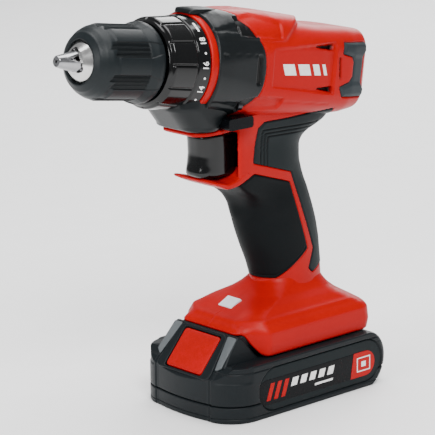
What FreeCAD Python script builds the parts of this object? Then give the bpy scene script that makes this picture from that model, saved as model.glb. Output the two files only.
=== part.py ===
import FreeCAD, Part
import math
import os

"""Cordless drill with a slide-on battery, as separate pieces with real clearances.

Row frame, millimetres: +X towards the chuck, +Y to the user's left, +Z up, origin at the
centre of the battery's flat base. The spindle is tilted nose-up, so the chuck, gearbox,
motor and barrel are drawn in a head frame (s along the spindle, y left, h at right angles)
and then turned and lifted into place by head().
"""

V = FreeCAD.Vector
ORIGIN = V(0, 0, 0)

# ---- driving dimensions -----------------------------------------------------------------
TILT = 8.0                 # nose-up tilt of the spindle, degrees
AXIS_Z = 186.83            # height of the spindle above the origin
WALL = 2.6                 # moulded wall of the clamshell

BATTERY_HALF_W = 39.0      # half width of the battery
BATTERY_REAR = -61.5       # rearmost point of the battery
BATTERY_FRONT = 63.5       # foremost point of the battery's bowed front
BATTERY_TOP = 31.6         # rim of the battery
SEAM_Z = 9.6               # joint between the battery's tray and lid
SLOPE_TOP = (43.6, 44.9)   # upper edge of the battery nose's slope, (x, z)
SLOPE_END = (63.0, 22.5)   # its lower edge

TEETH = 15                 # teeth of every sun and planet gear
RING_TEETH = 45            # teeth of every ring gear
MODULE = 0.75              # gear module
ORBIT = MODULE * TEETH     # radius on which the planets stand
STAGE_S = (25.5, 39.6, 49.7)   # rear faces of the three planet stages
PLANET_L = (5.5, 5.8, 5.8)     # their lengths

CASE_BORE = 19.4           # bore of the gear case
SHIFT_TRAVEL = 6.0         # travel of the shifting ring gear
SPINDLE_R = 5.95           # spindle in its bearing
COLLAR_REAR = 62.2         # rear face of the torque collar
COLLAR_FRONT = 87.4        # its front face

JAW_ANGLE = 15.0           # slope of each jaw to the spindle
JAW_R = 3.2                # radius of a jaw's stem
JAW_TIP = 144.7            # tip of the closed jaws
JAW_TAIL = 110.5           # tail of the closed jaws
JAW_TRAVEL = 16.2          # travel of a jaw along its slope
JAW_OFFSET = 0.9           # distance of a jaw's axis from the spindle at the tip
CLAMP_R = 0.75             # hole left between the closed jaws

SLEEVE_BORE = 18.3         # wide bore of the chuck's hand sleeve
RIB_GROUPS = 7             # groups of grip ribs round the sleeve
RIBS = 6                   # ribs in a group
RIB_PITCH = 4.2            # degrees between ribs
RIB_START = -64.0          # turn of the first group, degrees
LANDS = 12                 # grip lands round the torque collar
LAND_HALF_W = 5.6          # half width of a land
LAND_START = 19.0          # turn of the first land, degrees

SKIN = 1.5                 # thickness of the soft skins
BUMPER_T = 1.6             # thickness of the rear bumpers
PROUD = 0.4                # how far a cutting tool stands outside the surface it recesses

TRIGGER_TRAVEL = 7.0
DIRECTION_TRAVEL = 3.0
BUTTON_TRAVEL = 3.5


# ---- driving forms: tables and side-view outlines ----------------------------------------
BARREL = (  # station, half width, top, bottom, corner radius
    (57.0, 28.2, 28.2, -28.2, 26.0), (48.0, 28.6, 29.8, -28.2, 25.0), (30.0, 28.8, 30.6, -28.0, 21.0),
    (18.0, 28.8, 30.6, -27.5, 17.0), (0.0, 28.4, 29.4, -26.6, 15.0), (-15.5, 27.7, 27.6, -25.6, 14.0),
    (-21.0, 27.4, 24.2, -25.4, 13.5), (-45.0, 25.4, 23.9, -24.4, 12.5), (-58.0, 22.4, 23.4, -22.4, 10.5),
    (-65.5, 17.0, 19.4, -18.0, 9.0), (-68.5, 12.5, 14.5, -13.5, 7.0))
HANDLE = (  # height, centre x, half depth, half width
    (52.0, -17.5, 22.5, 18.0), (66.0, -15.9, 22.1, 16.8), (78.0, -13.4, 24.0, 17.0),
    (100.0, -7.6, 26.4, 17.4), (122.0, -2.8, 23.2, 17.0), (140.0, 3.0, 24.0, 17.4),
    (152.0, 3.6, 24.6, 18.6), (172.0, 7.0, 28.0, 21.5))
FOOT = (  # height, rear x, front x, half width, corner radius
    (32.3, -51.5, 43.0, 33.5, 7.0), (40.0, -54.5, 43.0, 33.6, 8.0), (46.5, -54.0, 42.0, 33.0, 9.0),
    (51.0, -49.5, 36.5, 28.5, 10.0), (56.0, -42.0, 26.0, 23.0, 12.0), (60.0, -39.5, 14.0, 18.5, 13.0),
    (64.0, -38.6, 7.0, 17.0, 13.0))
CASE_EDGE_S = 54.0         # centre of the round joint between gear case and clamshell
CASE_EDGE_R = 30.0
SKIRT = ((36.0, 178.0), (76.0, 173.5), (66.4, 161.0), (63.0, 159.8), (45.0, 159.8), (36.0, 168.0))
BAY = ((6.0, 172.0), (37.0, 170.0), (45.0, 159.8), (63.0, 159.8), (60.0, 156.6), (36.0, 156.6),
       (34.0, 154.0), (34.0, 133.0), (36.5, 130.6), (49.5, 130.6), (45.0, 127.2), (36.0, 124.0),
       (6.0, 122.0))
FRONT_CUT = ((27.5, 31.0), (27.5, 33.0), (38.5, 45.4), (60.0, 45.4), (60.0, 31.0))
CASE_SCREWS = ((19.2, 20.2), (-19.2, 20.2), (19.2, -19.6), (-19.2, -19.6))
SCREWS = ((24.0, 162.0), (-12.0, 122.5), (13.0, 118.5), (-26.0, 90.0), (1.0, 86.0), (12.0, 50.3),
          (-16.0, 50.3), (-59.5, 193.6), (-46.9, 161.1))
LOWER_GRIP = ((27.0, 127.0), (24.0, 121.5), (-14.0, 122.5), (-19.0, 119.0), (-28.0, 84.0), (-22.0, 74.0),
              (-8.0, 66.5), (30.0, 66.5), (40.0, 110.0), (30.0, 123.5))
UPPER_GRIP = ((22.0, 158.0), (23.0, 131.0), (-16.0, 129.0), (-25.0, 119.0), (-34.0, 80.0), (-25.0, 66.5),
              (-60.0, 66.5), (-60.0, 150.0), (-46.0, 157.5), (-20.0, 155.0))
BUMPER = ((-37.0, 16.5), (-61.0, 16.5), (-62.5, 10.5), (-57.0, 8.0), (-57.0, -8.0),
          (-61.5, -10.5), (-60.0, -14.8), (-38.5, -14.8), (-35.5, -8.7), (-44.5, -5.0),
          (-50.0, -1.0), (-50.0, 4.0), (-44.5, 6.5), (-36.0, 9.0))


# ---- small tools ------------------------------------------------------------------------
def head(shape):
    """Turn and lift a shape from the head frame into the row frame."""
    placed = shape.copy()
    placed.rotate(ORIGIN, V(0, 1, 0), -TILT)
    placed.translate(V(0, 0, AXIS_Z))
    return placed


def head_point(s, y, h):
    """Row-frame point of a head-frame point."""
    c, n = math.cos(math.radians(TILT)), math.sin(math.radians(TILT))
    return V(s * c - h * n, y, AXIS_Z + s * n + h * c)


def rod(s0, s1, radius, y=0.0, h=0.0):
    """Round bar along the head frame's s axis."""
    return Part.makeCylinder(radius, s1 - s0, V(s0, y, h), V(1, 0, 0))


def tube(s0, s1, outer, inner):
    """Round tube along s."""
    return rod(s0, s1, outer).cut(rod(s0 - 1, s1 + 1, inner))


def block(x0, x1, y0, y1, z0, z1):
    """Plain box between two corners."""
    return Part.makeBox(x1 - x0, y1 - y0, z1 - z0, V(x0, y0, z0))


def turned(profile):
    """Solid of revolution about s of a closed (s, radius) outline."""
    points = [V(s, 0, r) for s, r in profile]
    wire = Part.makePolygon(points + points[:1])
    return Part.Face(wire).revolve(ORIGIN, V(1, 0, 0), 360)


def prism(outline, y0, y1):
    """Side-view outline of (x, z) points, extruded from y0 to y1."""
    points = [V(x, y0, z) for x, z in outline]
    wire = Part.makePolygon(points + points[:1])
    return Part.Face(wire).extrude(V(0, y1 - y0, 0))


def fused(shapes):
    """One solid from several touching ones."""
    return shapes[0].multiFuse(shapes[1:]).removeSplitter() if len(shapes) > 1 else shapes[0]


def around(shape, count, start=0.0):
    """Copies of a shape at equal turns about s."""
    copies = []
    for i in range(count):
        copy = shape.copy()
        copy.rotate(ORIGIN, V(1, 0, 0), start + 360.0 * i / count)
        copies.append(copy)
    return copies


def rounded_rect(u0, u1, v0, v1, radius, place):
    """Closed wire of a rectangle with round corners; place maps (u, v) to a point."""
    bend = radius * math.sqrt(0.5)
    corners = ((u1, v0, 1, -1), (u1, v1, 1, 1), (u0, v1, -1, 1), (u0, v0, -1, -1))
    starts, edges, ends = [], [], []
    for index, (u, v, su, sv) in enumerate(corners):
        cu, cv = u - su * radius, v - sv * radius
        on_v = (cu, cv + sv * radius)
        on_u = (cu + su * radius, cv)
        first, last = (on_v, on_u) if index % 2 == 0 else (on_u, on_v)
        middle = (cu + su * bend, cv + sv * bend)
        edges.append(Part.Arc(place(*first), place(*middle), place(*last)).toShape())
        starts.append(place(*first))
        ends.append(place(*last))
    lines = [Part.LineSegment(ends[i], starts[(i + 1) % 4]).toShape() for i in range(4)]
    loop = [edge for pair in zip(edges, lines) for edge in pair]
    return Part.Wire(loop)


def bent_tube(points, radius):
    """Tube route: straight runs joined by tangent arcs, as one round solid."""
    edges, here = [], points[0]
    for i in range(1, len(points) - 1):
        before, corner, after = points[i - 1], points[i], points[i + 1]
        u, w = (before - corner).normalize(), (after - corner).normalize()
        turn = math.pi - u.getAngle(w)
        short = min((before - corner).Length, (after - corner).Length)
        back = 0.45 * short
        bend = back / math.tan(turn / 2)
        first, last = corner + u * back, corner + w * back
        centre = corner + (u + w).normalize() * (bend / math.cos(turn / 2))
        middle = centre + (corner - centre).normalize() * bend
        edges.append(Part.LineSegment(here, first).toShape())
        edges.append(Part.Arc(first, middle, last).toShape())
        here = last
    edges.append(Part.LineSegment(here, points[-1]).toShape())
    path = Part.Wire(edges)
    disc = Part.Wire(Part.Circle(points[0], points[1] - points[0], radius).toShape())
    return path.makePipeShell([disc], True, False)


# ---- gears ------------------------------------------------------------------------------
def toothed_face(teeth, tip, root, half_tip, half_root, phase):
    """Flat gear outline in the XY plane: straight-flanked teeth, angles in degrees."""
    points = []
    for k in range(teeth):
        mid = phase + 360.0 * k / teeth
        corners = ((root, -half_root), (tip, -half_tip), (tip, half_tip), (root, half_root))
        for radius, offset in corners:
            a = math.radians(mid + offset)
            points.append(V(radius * math.cos(a), radius * math.sin(a), 0))
    return Part.Face(Part.makePolygon(points + points[:1]))


def on_spindle(shape, s0):
    """Stand a shape drawn along Z on the s axis, its foot at s0, its X axis up."""
    placed = shape.copy()
    placed.rotate(ORIGIN, V(1, 0, 1), 180)
    placed.translate(V(s0, 0, 0))
    return placed


def spur(teeth, s0, s1, phase=0.0):
    """External gear with a tooth pointing up (+h) when phase is 0."""
    pitch = MODULE * teeth / 2
    step = 360.0 / teeth
    face = toothed_face(teeth, pitch + 0.62, pitch - 0.85, step * 0.10, step * 0.30, phase)
    return on_spindle(face.extrude(V(0, 0, s1 - s0)), s0)


def ring_gear(s0, s1, outer):
    """Internal gear with a gap pointing up, so a planet's tooth meets it there."""
    pitch = MODULE * RING_TEETH / 2
    step = 360.0 / RING_TEETH
    hollow = toothed_face(RING_TEETH, pitch + 0.85, pitch - 0.62, step * 0.26, step * 0.40, 0.0)
    cut = on_spindle(hollow.extrude(V(0, 0, s1 - s0 + 2)), s0 - 1)
    return rod(s0, s1, outer).cut(cut)


def planet(stage, index):
    """One planet gear of a stage, bored for its pin."""
    s0, s1 = STAGE_S[stage], STAGE_S[stage] + PLANET_L[stage]
    gear = spur(TEETH, s0, s1).cut(rod(s0 - 1, s1 + 1, 2.05))
    gear.translate(V(0, 0, ORBIT))
    gear.rotate(ORIGIN, V(1, 0, 0), 120.0 * index)
    return head(gear)


def carrier_1():
    """First carrier: plate that runs just inside the shifting ring's teeth, pins, second sun."""
    pins = around(rod(STAGE_S[0], 32.0, 2.0, 0, ORBIT), 3)
    plate = rod(31.6, 34.6, MODULE * RING_TEETH / 2 - 1.05)
    return head(fused([plate, spur(TEETH, 34.2, 45.6)] + pins))


def carrier_2():
    """Second carrier: plate with pins and the third sun."""
    pins = around(rod(STAGE_S[1], 47.0, 2.0, 0, ORBIT), 3)
    return head(fused([rod(46.3, 48.9, 14.6), spur(TEETH, 48.5, 55.8)] + pins))


def carrier_3():
    """Output carrier: plate with pins, keyed to the spindle."""
    pins = around(rod(STAGE_S[2], 57.0, 2.0, 0, ORBIT), 3)
    plate = rod(56.4, 59.4, 14.6).cut(rod(56, 61, 5.0))
    return head(fused([plate] + pins))


def shift_ring():
    """Shifting ring gear: locked to the case by six lugs, grooved for its fork."""
    ring = ring_gear(39.0, 46.0, 19.05)
    lug = block(43.0, 46.0, -2.4, 2.4, 18.3, 20.8)
    body = fused([ring] + around(lug, 6))
    for angle in (60, -60):
        hole = Part.makeCylinder(0.8, 3.0, V(40.9, 0, 18.3), V(0, 0, 1))
        hole.rotate(ORIGIN, V(1, 0, 0), angle)
        body = body.cut(hole)
    return head(body)


def shift_fork():
    """Wire fork: a saddle over the shifting ring with two pins, and a stem to the slider."""
    saddle = tube(40.0, 41.8, 20.9, 19.45)
    for side in (1, -1):
        wedge = block(39, 43, -30, 30, -30, 0)
        wedge.rotate(ORIGIN, V(1, 0, 0), 22.0 * side)
        saddle = saddle.cut(wedge)
    parts = [saddle]
    for angle in (60, -60):
        pin = Part.makeCylinder(0.75, 1.9, V(40.9, 0, 18.4), V(0, 0, 1))
        pin.rotate(ORIGIN, V(1, 0, 0), angle)
        parts.append(pin)
    parts.append(block(40.0, 41.8, -3.0, 3.0, 20.0, 27.6))
    parts.append(block(24.0, 41.8, -3.0, 3.0, 26.2, 27.6))
    return head(fused(parts))


def speed_selector():
    """Thumb slider on top of the barrel, with grip ribs and a tongue down to the fork."""
    plate = block(17.0, 33.0, -8.0, 8.0, 28.2, 29.4)
    plate = plate.makeFillet(2.0, [e for e in plate.Edges if abs(e.tangentAt(0).z) > 0.9])
    ribs = [block(20.0 + 2.4 * i, 21.2 + 2.4 * i, -5.5, 5.5, 29.2, 30.4) for i in range(5)]
    return head(fused([plate, block(25.0, 31.0, -2.8, 2.8, 27.6, 28.4)] + ribs))


# ---- chuck ------------------------------------------------------------------------------
def jaw_axis(index):
    """Point where a jaw's axis passes the tip's plane, and its direction to the rear."""
    a = math.radians(120.0 * index)
    slope = math.radians(JAW_ANGLE)
    out = V(0, -math.sin(a), math.cos(a))
    return V(JAW_TIP, 0, 0) + out * JAW_OFFSET, V(-math.cos(slope), 0, 0) + out * math.sin(slope)


def jaw_stem(index, tip_s, tail_s, radius):
    """Round bar on a jaw's slope between two stations along s."""
    start, away = jaw_axis(index)
    cosine = math.cos(math.radians(JAW_ANGLE))
    first = start + away * ((JAW_TIP - tip_s) / cosine)
    return Part.makeCylinder(radius, (tip_s - tail_s) / cosine, first, away)


def jaw(index):
    """One jaw: sloping stem, conical nose, two flats that meet its neighbours, thread teeth."""
    stem = jaw_stem(index, JAW_TIP + 4, JAW_TAIL, JAW_R)
    for k in range(9):
        station = 111.6 + 1.8 * k
        start, away = jaw_axis(index)
        centre = start + away * ((JAW_TIP - station) / math.cos(math.radians(JAW_ANGLE)))
        out = V(0, -math.sin(math.radians(120.0 * index)), math.cos(math.radians(120.0 * index)))
        groove = block(-0.45, 0.45, -4, 4, JAW_R - 0.55, JAW_R + 2)
        groove.rotate(ORIGIN, V(0, 1, 0), JAW_ANGLE)
        groove.rotate(ORIGIN, V(1, 0, 0), 120.0 * index)
        groove.translate(centre)
        stem = stem.cut(groove)
    cone = turned(((60, 0), (JAW_TIP, 0), (JAW_TIP, 2.75), (JAW_TIP - 0.4, 3.05), (131, 6.2),
                   (126, 30), (60, 30)))
    stem = stem.common(cone)
    gap = 0.11
    reach = 60.0
    foot_h = gap / math.sin(math.radians(60))
    side_h = foot_h + reach / math.tan(math.radians(60))
    corners = [V(60, 0, foot_h), V(60, -reach, side_h), V(60, reach, side_h), V(60, 0, foot_h)]
    sector = Part.Face(Part.makePolygon(corners)).extrude(V(100, 0, 0))
    sector.rotate(ORIGIN, V(1, 0, 0), 120.0 * index)
    stem = stem.common(sector).cut(rod(60, 150, CLAMP_R))
    return head(stem)


def chuck_body():
    """Steel chuck body: nose cone, waist, rear hub, sloping jaw holes, stepped bore."""
    body = turned(((88.6, 4.85), (88.6, 11.4), (89.4, 12.2), (97.0, 12.2), (97.0, 10.9), (120.5, 10.9),
                   (120.5, 11.2), (128.5, 11.2), (132.9, 7.0), (133.4, 5.2), (106.0, 5.2), (106.0, 4.25),
                   (102.0, 4.25), (102.0, 4.85)))
    for index in range(3):
        body = body.cut(jaw_stem(index, JAW_TIP + 4, 93.0, JAW_R + 0.06))
    return head(body)


def spindle():
    """Output spindle: keyed tail, journal, threaded end and the screw in its mouth."""
    shaft = fused([rod(56.4, 61.0, 5.0), rod(60.0, 88.6, SPINDLE_R), rod(88.0, 102.0, 4.8)])
    screw = fused([rod(92.0, 102.0, 2.4), rod(102.0, 105.5, 4.1)])
    hex_socket = rod(103.6, 106, 1.6)
    return head(fused([shaft, screw]).cut(hex_socket))


def sleeve():
    """Ribbed hand sleeve of the chuck, with a flared rear rim and a rounded front."""
    shell = turned(((88.4, 12.28), (88.4, 20.6), (89.2, 21.4), (92.6, 21.4), (96.5, 20.2),
                    (98.0, 19.9), (118.0, 19.9), (121.5, 19.3), (124.6, 18.1), (127.0, 16.6),
                    (128.2, 15.6), (130.0, 12.4), (130.0, 11.5), (124.0, 11.5), (122.0, SLEEVE_BORE),
                    (93.0, SLEEVE_BORE), (92.2, 12.28)))
    ribs = []
    for group in range(RIB_GROUPS):
        for k in range(RIBS):
            rib = block(99.0, 119.6, -0.42, 0.42, 19.4, 20.35)
            turn = RIB_START + 360.0 / RIB_GROUPS * group + RIB_PITCH * (k - (RIBS - 1) / 2)
            rib.rotate(ORIGIN, V(1, 0, 0), turn)
            ribs.append(rib)
    return head(fused([shell] + ribs))


def jaw_nut():
    """Split nut that drives the jaws, seated in the sleeve."""
    slope = math.tan(math.radians(JAW_ANGLE))

    def clear(s):
        return JAW_OFFSET + (JAW_TIP - s) * slope + JAW_R / math.cos(math.radians(JAW_ANGLE)) + 0.3

    rear, front, rim = 112.0, 118.0, SLEEVE_BORE - 0.03
    return head(turned(((rear, clear(rear)), (rear, rim), (front, rim), (front, clear(front)))))


# ---- clutch -----------------------------------------------------------------------------
def torque_collar():
    """Torque-setting collar: grip lands, number band, four inner key grooves."""
    shell = turned(((COLLAR_REAR, 20.6), (COLLAR_REAR, 26.5), (69.0, 25.4), (70.0, 24.2),
                    (84.6, 23.4), (86.6, 22.6), (COLLAR_FRONT, 21.6), (COLLAR_FRONT, 15.4),
                    (84.6, 15.4), (84.6, 20.6)))
    lands = []
    for k in range(LANDS):
        land = turned(((70.0, 22.8), (70.0, 25.35), (83.6, 24.5), (85.8, 23.2), (85.8, 22.0)))
        land = land.common(block(60, 90, -LAND_HALF_W, LAND_HALF_W, 10, 40))
        land.rotate(ORIGIN, V(1, 0, 0), 360.0 / LANDS * k + LAND_START)
        lands.append(land)
    collar = fused([shell] + lands)
    for key in around(block(60.0, 84.6, -2.4, 2.4, 19.0, 21.9), 4, 45):
        collar = collar.cut(key)
    return head(collar)


def clutch_nut():
    """Nut that loads the clutch spring; four lugs slide in the collar's grooves."""
    ring = tube(76.5, 80.5, 20.2, 15.4)
    lug = block(76.5, 80.5, -2.0, 2.0, 18.5, 21.5)
    return head(fused([ring] + around(lug, 4, 45)))


def coil(base, direction, length, radius, wire, turns):
    """Compression spring along a direction."""
    helix = Part.makeHelix((length - 2 * wire) / turns, length - 2 * wire, radius)
    section = Part.Wire(Part.Circle(V(radius, 0, 0), V(0, 1, 0), wire).toShape())
    spring = Part.Wire(helix.Edges).makePipeShell([section], True, True)
    spring.translate(V(0, 0, wire))
    spring.Placement = FreeCAD.Placement(base, FreeCAD.Rotation(V(0, 0, 1), direction)).multiply(
        spring.Placement)
    return spring


def clutch_spring():
    """Clutch spring between the thrust washer and the nut."""
    return head(coil(V(61.9, 0, 0), V(1, 0, 0), 14.4, 17.7, 1.0, 5))


def clutch_balls():
    """Six balls in the case's front wall and the thrust washer that presses on them."""
    balls = around(Part.makeSphere(1.85, V(58.35, 0, 17.4)), 6, 30)
    return Part.Compound([head(b) for b in balls] + [head(tube(60.5, 61.7, 19.6, 16.6))])


# ---- barrel, handle and foot ------------------------------------------------------------


def barrel(inset):
    """Barrel of the head, shrunk by inset, as a ruled loft of rounded rectangles."""
    wires = []
    for s, w, top, bottom, corner in BARREL:
        s = s if s > 0 else s + inset * (1.0 if s < -57 else 0.0)
        wires.append(rounded_rect(-w + inset, w - inset, bottom + inset, top - inset,
                                  corner - inset * 0.8, lambda u, v, s=s: V(s, u, v)))
    return Part.makeLoft(wires, True, True)


def handle(inset):
    """Handle as a smooth loft of ellipses, shrunk by inset."""
    wires = []
    for z, x, depth, width in HANDLE:
        ellipse = Part.Ellipse(V(x, 0, z), depth - inset, width - inset)
        wires.append(Part.Wire(ellipse.toShape()))
    return Part.makeLoft(wires, True, False)


def foot(inset):
    """Foot that carries the battery, as a ruled loft of rounded rectangles."""
    wires = []
    for z, rear, front, w, corner in FOOT:
        wires.append(rounded_rect(rear + inset, front - inset, -w + inset, w - inset,
                                  corner - inset * 0.8, lambda u, v, z=z: V(u, v, z)))
    return Part.makeLoft(wires, True, True)


def case_edge(radius):
    """Round region of the side view that belongs to the gear case."""
    return Part.makeCylinder(radius, 80, V(CASE_EDGE_S, -40, 0), V(0, 1, 0))


def skirt():
    """Lower front of the gear case, over the trigger, rounded in plan."""
    plan = rounded_rect(20.0, 76.5, -20.0, 20.0, 15.0, lambda u, v: V(u, v, 150.0))
    column = Part.Face(plan).extrude(V(0, 0, 40.0))
    return prism(SKIRT, -25, 25).common(column)


def case_screw_room():
    """Holes for the gear case screws and the open channels in front of their heads."""
    room = []
    for y, h in CASE_SCREWS:
        room += [head(rod(14.0, 33.5, 1.6, y, h)), head(rod(33.0, 70.0, 3.2, y, h))]
    return room


def gear_case():
    """Gear case: round shell, tongue over the collar, snout, bores, shift slot, pockets."""
    shell = barrel(0.0).common(case_edge(CASE_EDGE_R))
    shell = shell.common(block(20, 57, -40, 40, -40, 40))
    tongue = block(50.0, 66.5, -8.0, 8.0, 26.95, 29.6)
    tongue = tongue.makeChamfer(1.2, [e for e in tongue.Edges if abs(e.CenterOfMass.x - 66.5) < 0.01
                                      and abs(e.CenterOfMass.z - 29.6) < 0.01])
    snout = fused([rod(55.0, 60.4, 21.6), rod(59.0, 62.5, 16.3), rod(60.0, 86.0, 15.0)])
    body = fused([head(fused([shell, tongue, snout])), skirt()])
    inner = [rod(20.0, 57.0, CASE_BORE), rod(33.2, 42.6, 21.3), rod(56.0, 59.7, 15.1),
             rod(59.0, 90.0, 12.0), block(33.0, 46.0, -4.0, 4.0, 18.0, 28.0),
             block(20.0, 46.0, -9.5, 9.5, 25.9, 32.0)]
    inner += around(block(42.0, 46.4, -2.75, 2.75, 18.0, 21.2), 6)
    inner += around(rod(56.0, 61.0, 1.9, 0, 17.4), 6, 30)
    for cut in inner:
        body = body.cut(head(cut))
    pocket = tube(20.0, 50.0, 26.2, 22.9).cut(block(20, 52, -12, 12, 0, 40))
    for web in around(block(19, 52, -1.5, 1.5, 20, 30), 4, 45):
        pocket = pocket.cut(web)
    body = body.cut(head(pocket))
    swept = rod(57.0, 95.0, 27.7).cut(rod(50.0, 60.4, 21.6)).cut(rod(50.0, 62.5, 16.3))
    body = body.cut(head(swept.cut(rod(50.0, 95.0, 15.0))))
    slot = prism(((30.0, 158.0), (30.0, 166.7), (48.7, 166.7), (48.7, 158.0)), -40, 40)
    for cut in [slot] + case_screw_room():
        body = body.cut(cut)
    return body


def drill_envelope(inset):
    """Outer form of the clamshell: barrel, handle, foot and the frame round the trigger."""
    frame = rounded_rect(-30.0, 64.0, -17.5 + inset, 17.5 - inset, 12.0 - inset,
                         lambda u, v: V(u, v, 100.0))
    column = Part.Face(frame).extrude(V(0, 0, 80.0))
    bay = prism(BAY, -25, 25).common(column)
    pieces = [head(barrel(inset)), handle(inset), foot(inset)]
    if inset == 0:
        pieces.append(bay)
    return pieces


def screw(x, z):
    """Clamshell screw: countersunk in the right half, threaded into the left."""
    shank = Part.makeCylinder(1.5, 16.0, V(x, -8.0, z), V(0, 1, 0))
    cap = Part.makeCylinder(3.0, 2.4, V(x, -10.4, z), V(0, 1, 0))
    drive = Part.makeCylinder(1.3, 1.4, V(x, -11.0, z), V(0, 1, 0))
    return shank.fuse(cap).cut(drive)


def trigger_bay():
    """Space in the handle for the trigger's travel and the switch behind it."""
    return block(20.0, 70.0, -12.0, 12.0, 130.9, 156.3).fuse(block(-10.2, 21.0, -9.6, 9.6, 131.3, 157.7))


def housing_whole():
    """Whole clamshell before it is split: hollow, with bosses and all its openings."""
    outer = fused(drill_envelope(0.0))
    body = outer.cut(fused(drill_envelope(WALL)))
    bosses = [Part.makeCylinder(3.6, 80.0, V(x, -40.0, z), V(0, 1, 0)).common(outer) for x, z in SCREWS]
    body = body.multiFuse(bosses + rails())
    keep_out = head(case_edge(CASE_EDGE_R).common(block(15, 100, -45, 45, -45, 45)))
    cuts = [keep_out, skirt()] + openings() + [skin_bed(LOWER_GRIP), skin_bed(UPPER_GRIP), bumper_bed()]
    for x, z in SCREWS:
        cuts.append(Part.makeCylinder(1.5, 16.0, V(x, -8.0, z), V(0, 1, 0)))
        cuts.append(Part.makeCylinder(3.0, 42.0, V(x, -50.0, z), V(0, 1, 0)))
    for cut in cuts:
        body = body.cut(cut)
    return body


def openings():
    """Everything cut out of the clamshell besides its hollow."""
    cuts = [trigger_bay(), prism(FRONT_CUT, -45, 45), head(rod(-39.0, 30.0, 22.6)),
            head(block(9.0, 36.5, -8.4, 8.4, 27.0, 34.0)),
            head(block(20.0, 46.0, -4.0, 4.0, 25.0, 29.0)), led_window(0.15),
            block(27.9, 50.9, -40, 40, 159.3, 167.4)] + case_screw_room()
    vents = []
    for side in (1, -1):
        y0, y1 = sorted((20.0 * side, 40.0 * side))
        for h in (13.0, -10.5):
            vents += [block(-29.0 + 5.2 * k, -25.1 + 5.2 * k, y0, y1, h - 0.9, h + 0.9) for k in range(3)]
    vents += [block(-75.0, -60.0, -9.0, 9.0, -10.0 + 4.8 * k, -7.6 + 4.8 * k) for k in range(5)]
    return cuts + [head(vent) for vent in vents]


def rails():
    """Two ledges inside the foot that the battery's flanges hang on."""
    ledges = []
    for side in (1, -1):
        y0, y1 = sorted((24.7 * side, 31.5 * side))
        ledges.append(block(-46.0, 27.0, y0, y1, 32.3, 35.1))
    return ledges


def housing_halves():
    """Left and right half of the clamshell."""
    body = housing_whole()
    halves = []
    for side in (1, -1):
        y0, y1 = sorted((0.0, 60.0 * side))
        half = body.common(block(-100, 100, y0, y1, 0, 260))
        halves.append(sorted(half.Solids, key=lambda solid: -solid.Volume)[0])
    return halves


def skin_bed(outline):
    """Space cut from the clamshell for a soft skin inside a side-view outline."""
    bed = handle(-PROUD).common(prism(outline, -30, 30)).cut(handle(SKIN))
    return bed.cut(head(barrel(0.0)))


def soft_skin(outline):
    """Soft skin of the handle inside a side-view outline."""
    skin = handle(0.0).common(prism(outline, -30, 30)).cut(handle(SKIN))
    return skin.cut(head(barrel(0.0))).cut(trigger_bay())


def grip(side):
    """Soft grip panel on one side of the handle, from the finger scoop to the foot."""
    y0, y1 = sorted((0.0, 60.0 * side))
    skin = soft_skin(LOWER_GRIP).common(block(-100, 100, y0, y1, 0, 260))
    for x, z in SCREWS:
        skin = skin.cut(Part.makeCylinder(3.0, 42.0, V(x, -50.0, z), V(0, 1, 0)))
    return sorted(skin.Solids, key=lambda solid: -solid.Volume)[0]


def back_strap():
    """Soft back of the handle, from under the barrel down to the foot, in one piece."""
    skin = soft_skin(UPPER_GRIP)
    for x, z in SCREWS:
        skin = skin.cut(Part.makeCylinder(3.0, 42.0, V(x, -50.0, z), V(0, 1, 0)))
    return sorted(skin.Solids, key=lambda solid: -solid.Volume)[0]


def bumper_bed():
    """Space cut from the clamshell for the bumpers."""
    bed = barrel(-PROUD).common(prism(BUMPER, -40, 40)).cut(barrel(BUMPER_T))
    return head(bed.cut(block(-80, -20, -9.5, 9.5, -40, 40)))


def bumpers():
    """Soft I-shaped bumpers wrapped round the rear corners of the barrel."""
    both = barrel(0.0).common(prism(BUMPER, -40, 40)).cut(barrel(BUMPER_T))
    return head(both.cut(block(-80, -20, -9.5, 9.5, -40, 40)))


def led_window(grow):
    """Clear window of the work light on the foot's front slope."""
    lens = block(-4.2 - grow, 4.2 + grow, -5.2 - grow, 5.2 + grow, -5.0 - grow, 2.2 + grow)
    lens.rotate(ORIGIN, V(0, 1, 0), 26.0)
    lens.translate(V(25.0, 0, 54.6))
    return lens


# ---- motor ------------------------------------------------------------------------------
def motor_can():
    """Motor can with two magnet shells inside."""
    can = turned(((-36.0, 16.9), (-36.0, 18.2), (19.5, 18.2), (20.5, 17.2), (20.5, 6.6),
                  (18.9, 6.6), (18.9, 16.9)))
    for window in around(block(9.5, 16.5, -3.5, 3.5, 10, 25), 4, 45):
        can = can.cut(window)
    magnets = []
    for side in (1, -1):
        arc = tube(-28.0, 8.0, 16.9, 13.4)
        y0, y1 = sorted((4.0 * side, 30.0 * side))
        magnets.append(arc.common(block(-40, 40, y0, y1, -30, 30)))
    return Part.Compound([head(can)] + [head(m) for m in magnets])


def motor_end_bell():
    """Rear cover of the motor with two carbon brushes and two solder tags."""
    bell = turned(((-41.5, 4.3), (-41.5, 15.5), (-40.0, 17.4), (-36.0, 18.2), (-36.0, 16.9), (-37.0, 15.0),
                   (-38.6, 4.3)))
    brushes = [block(-36.0, -31.5, -2.2, 2.2, 5.35, 11.5), block(-36.0, -31.5, -2.2, 2.2, -11.5, -5.35)]
    tags = [block(-46.0, -41.0, 6.0, 6.8, 8.0, 12.0), block(-46.0, -41.0, -6.8, -6.0, 8.0, 12.0)]
    return Part.Compound([head(fused([bell] + tags))] + [head(b) for b in brushes])


def motor_bearings():
    """Bushes at both ends of the motor shaft."""
    return Part.Compound([head(tube(-42.5, -38.2, 4.3, 1.65)), head(tube(17.6, 22.0, 6.6, 1.65))])


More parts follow.
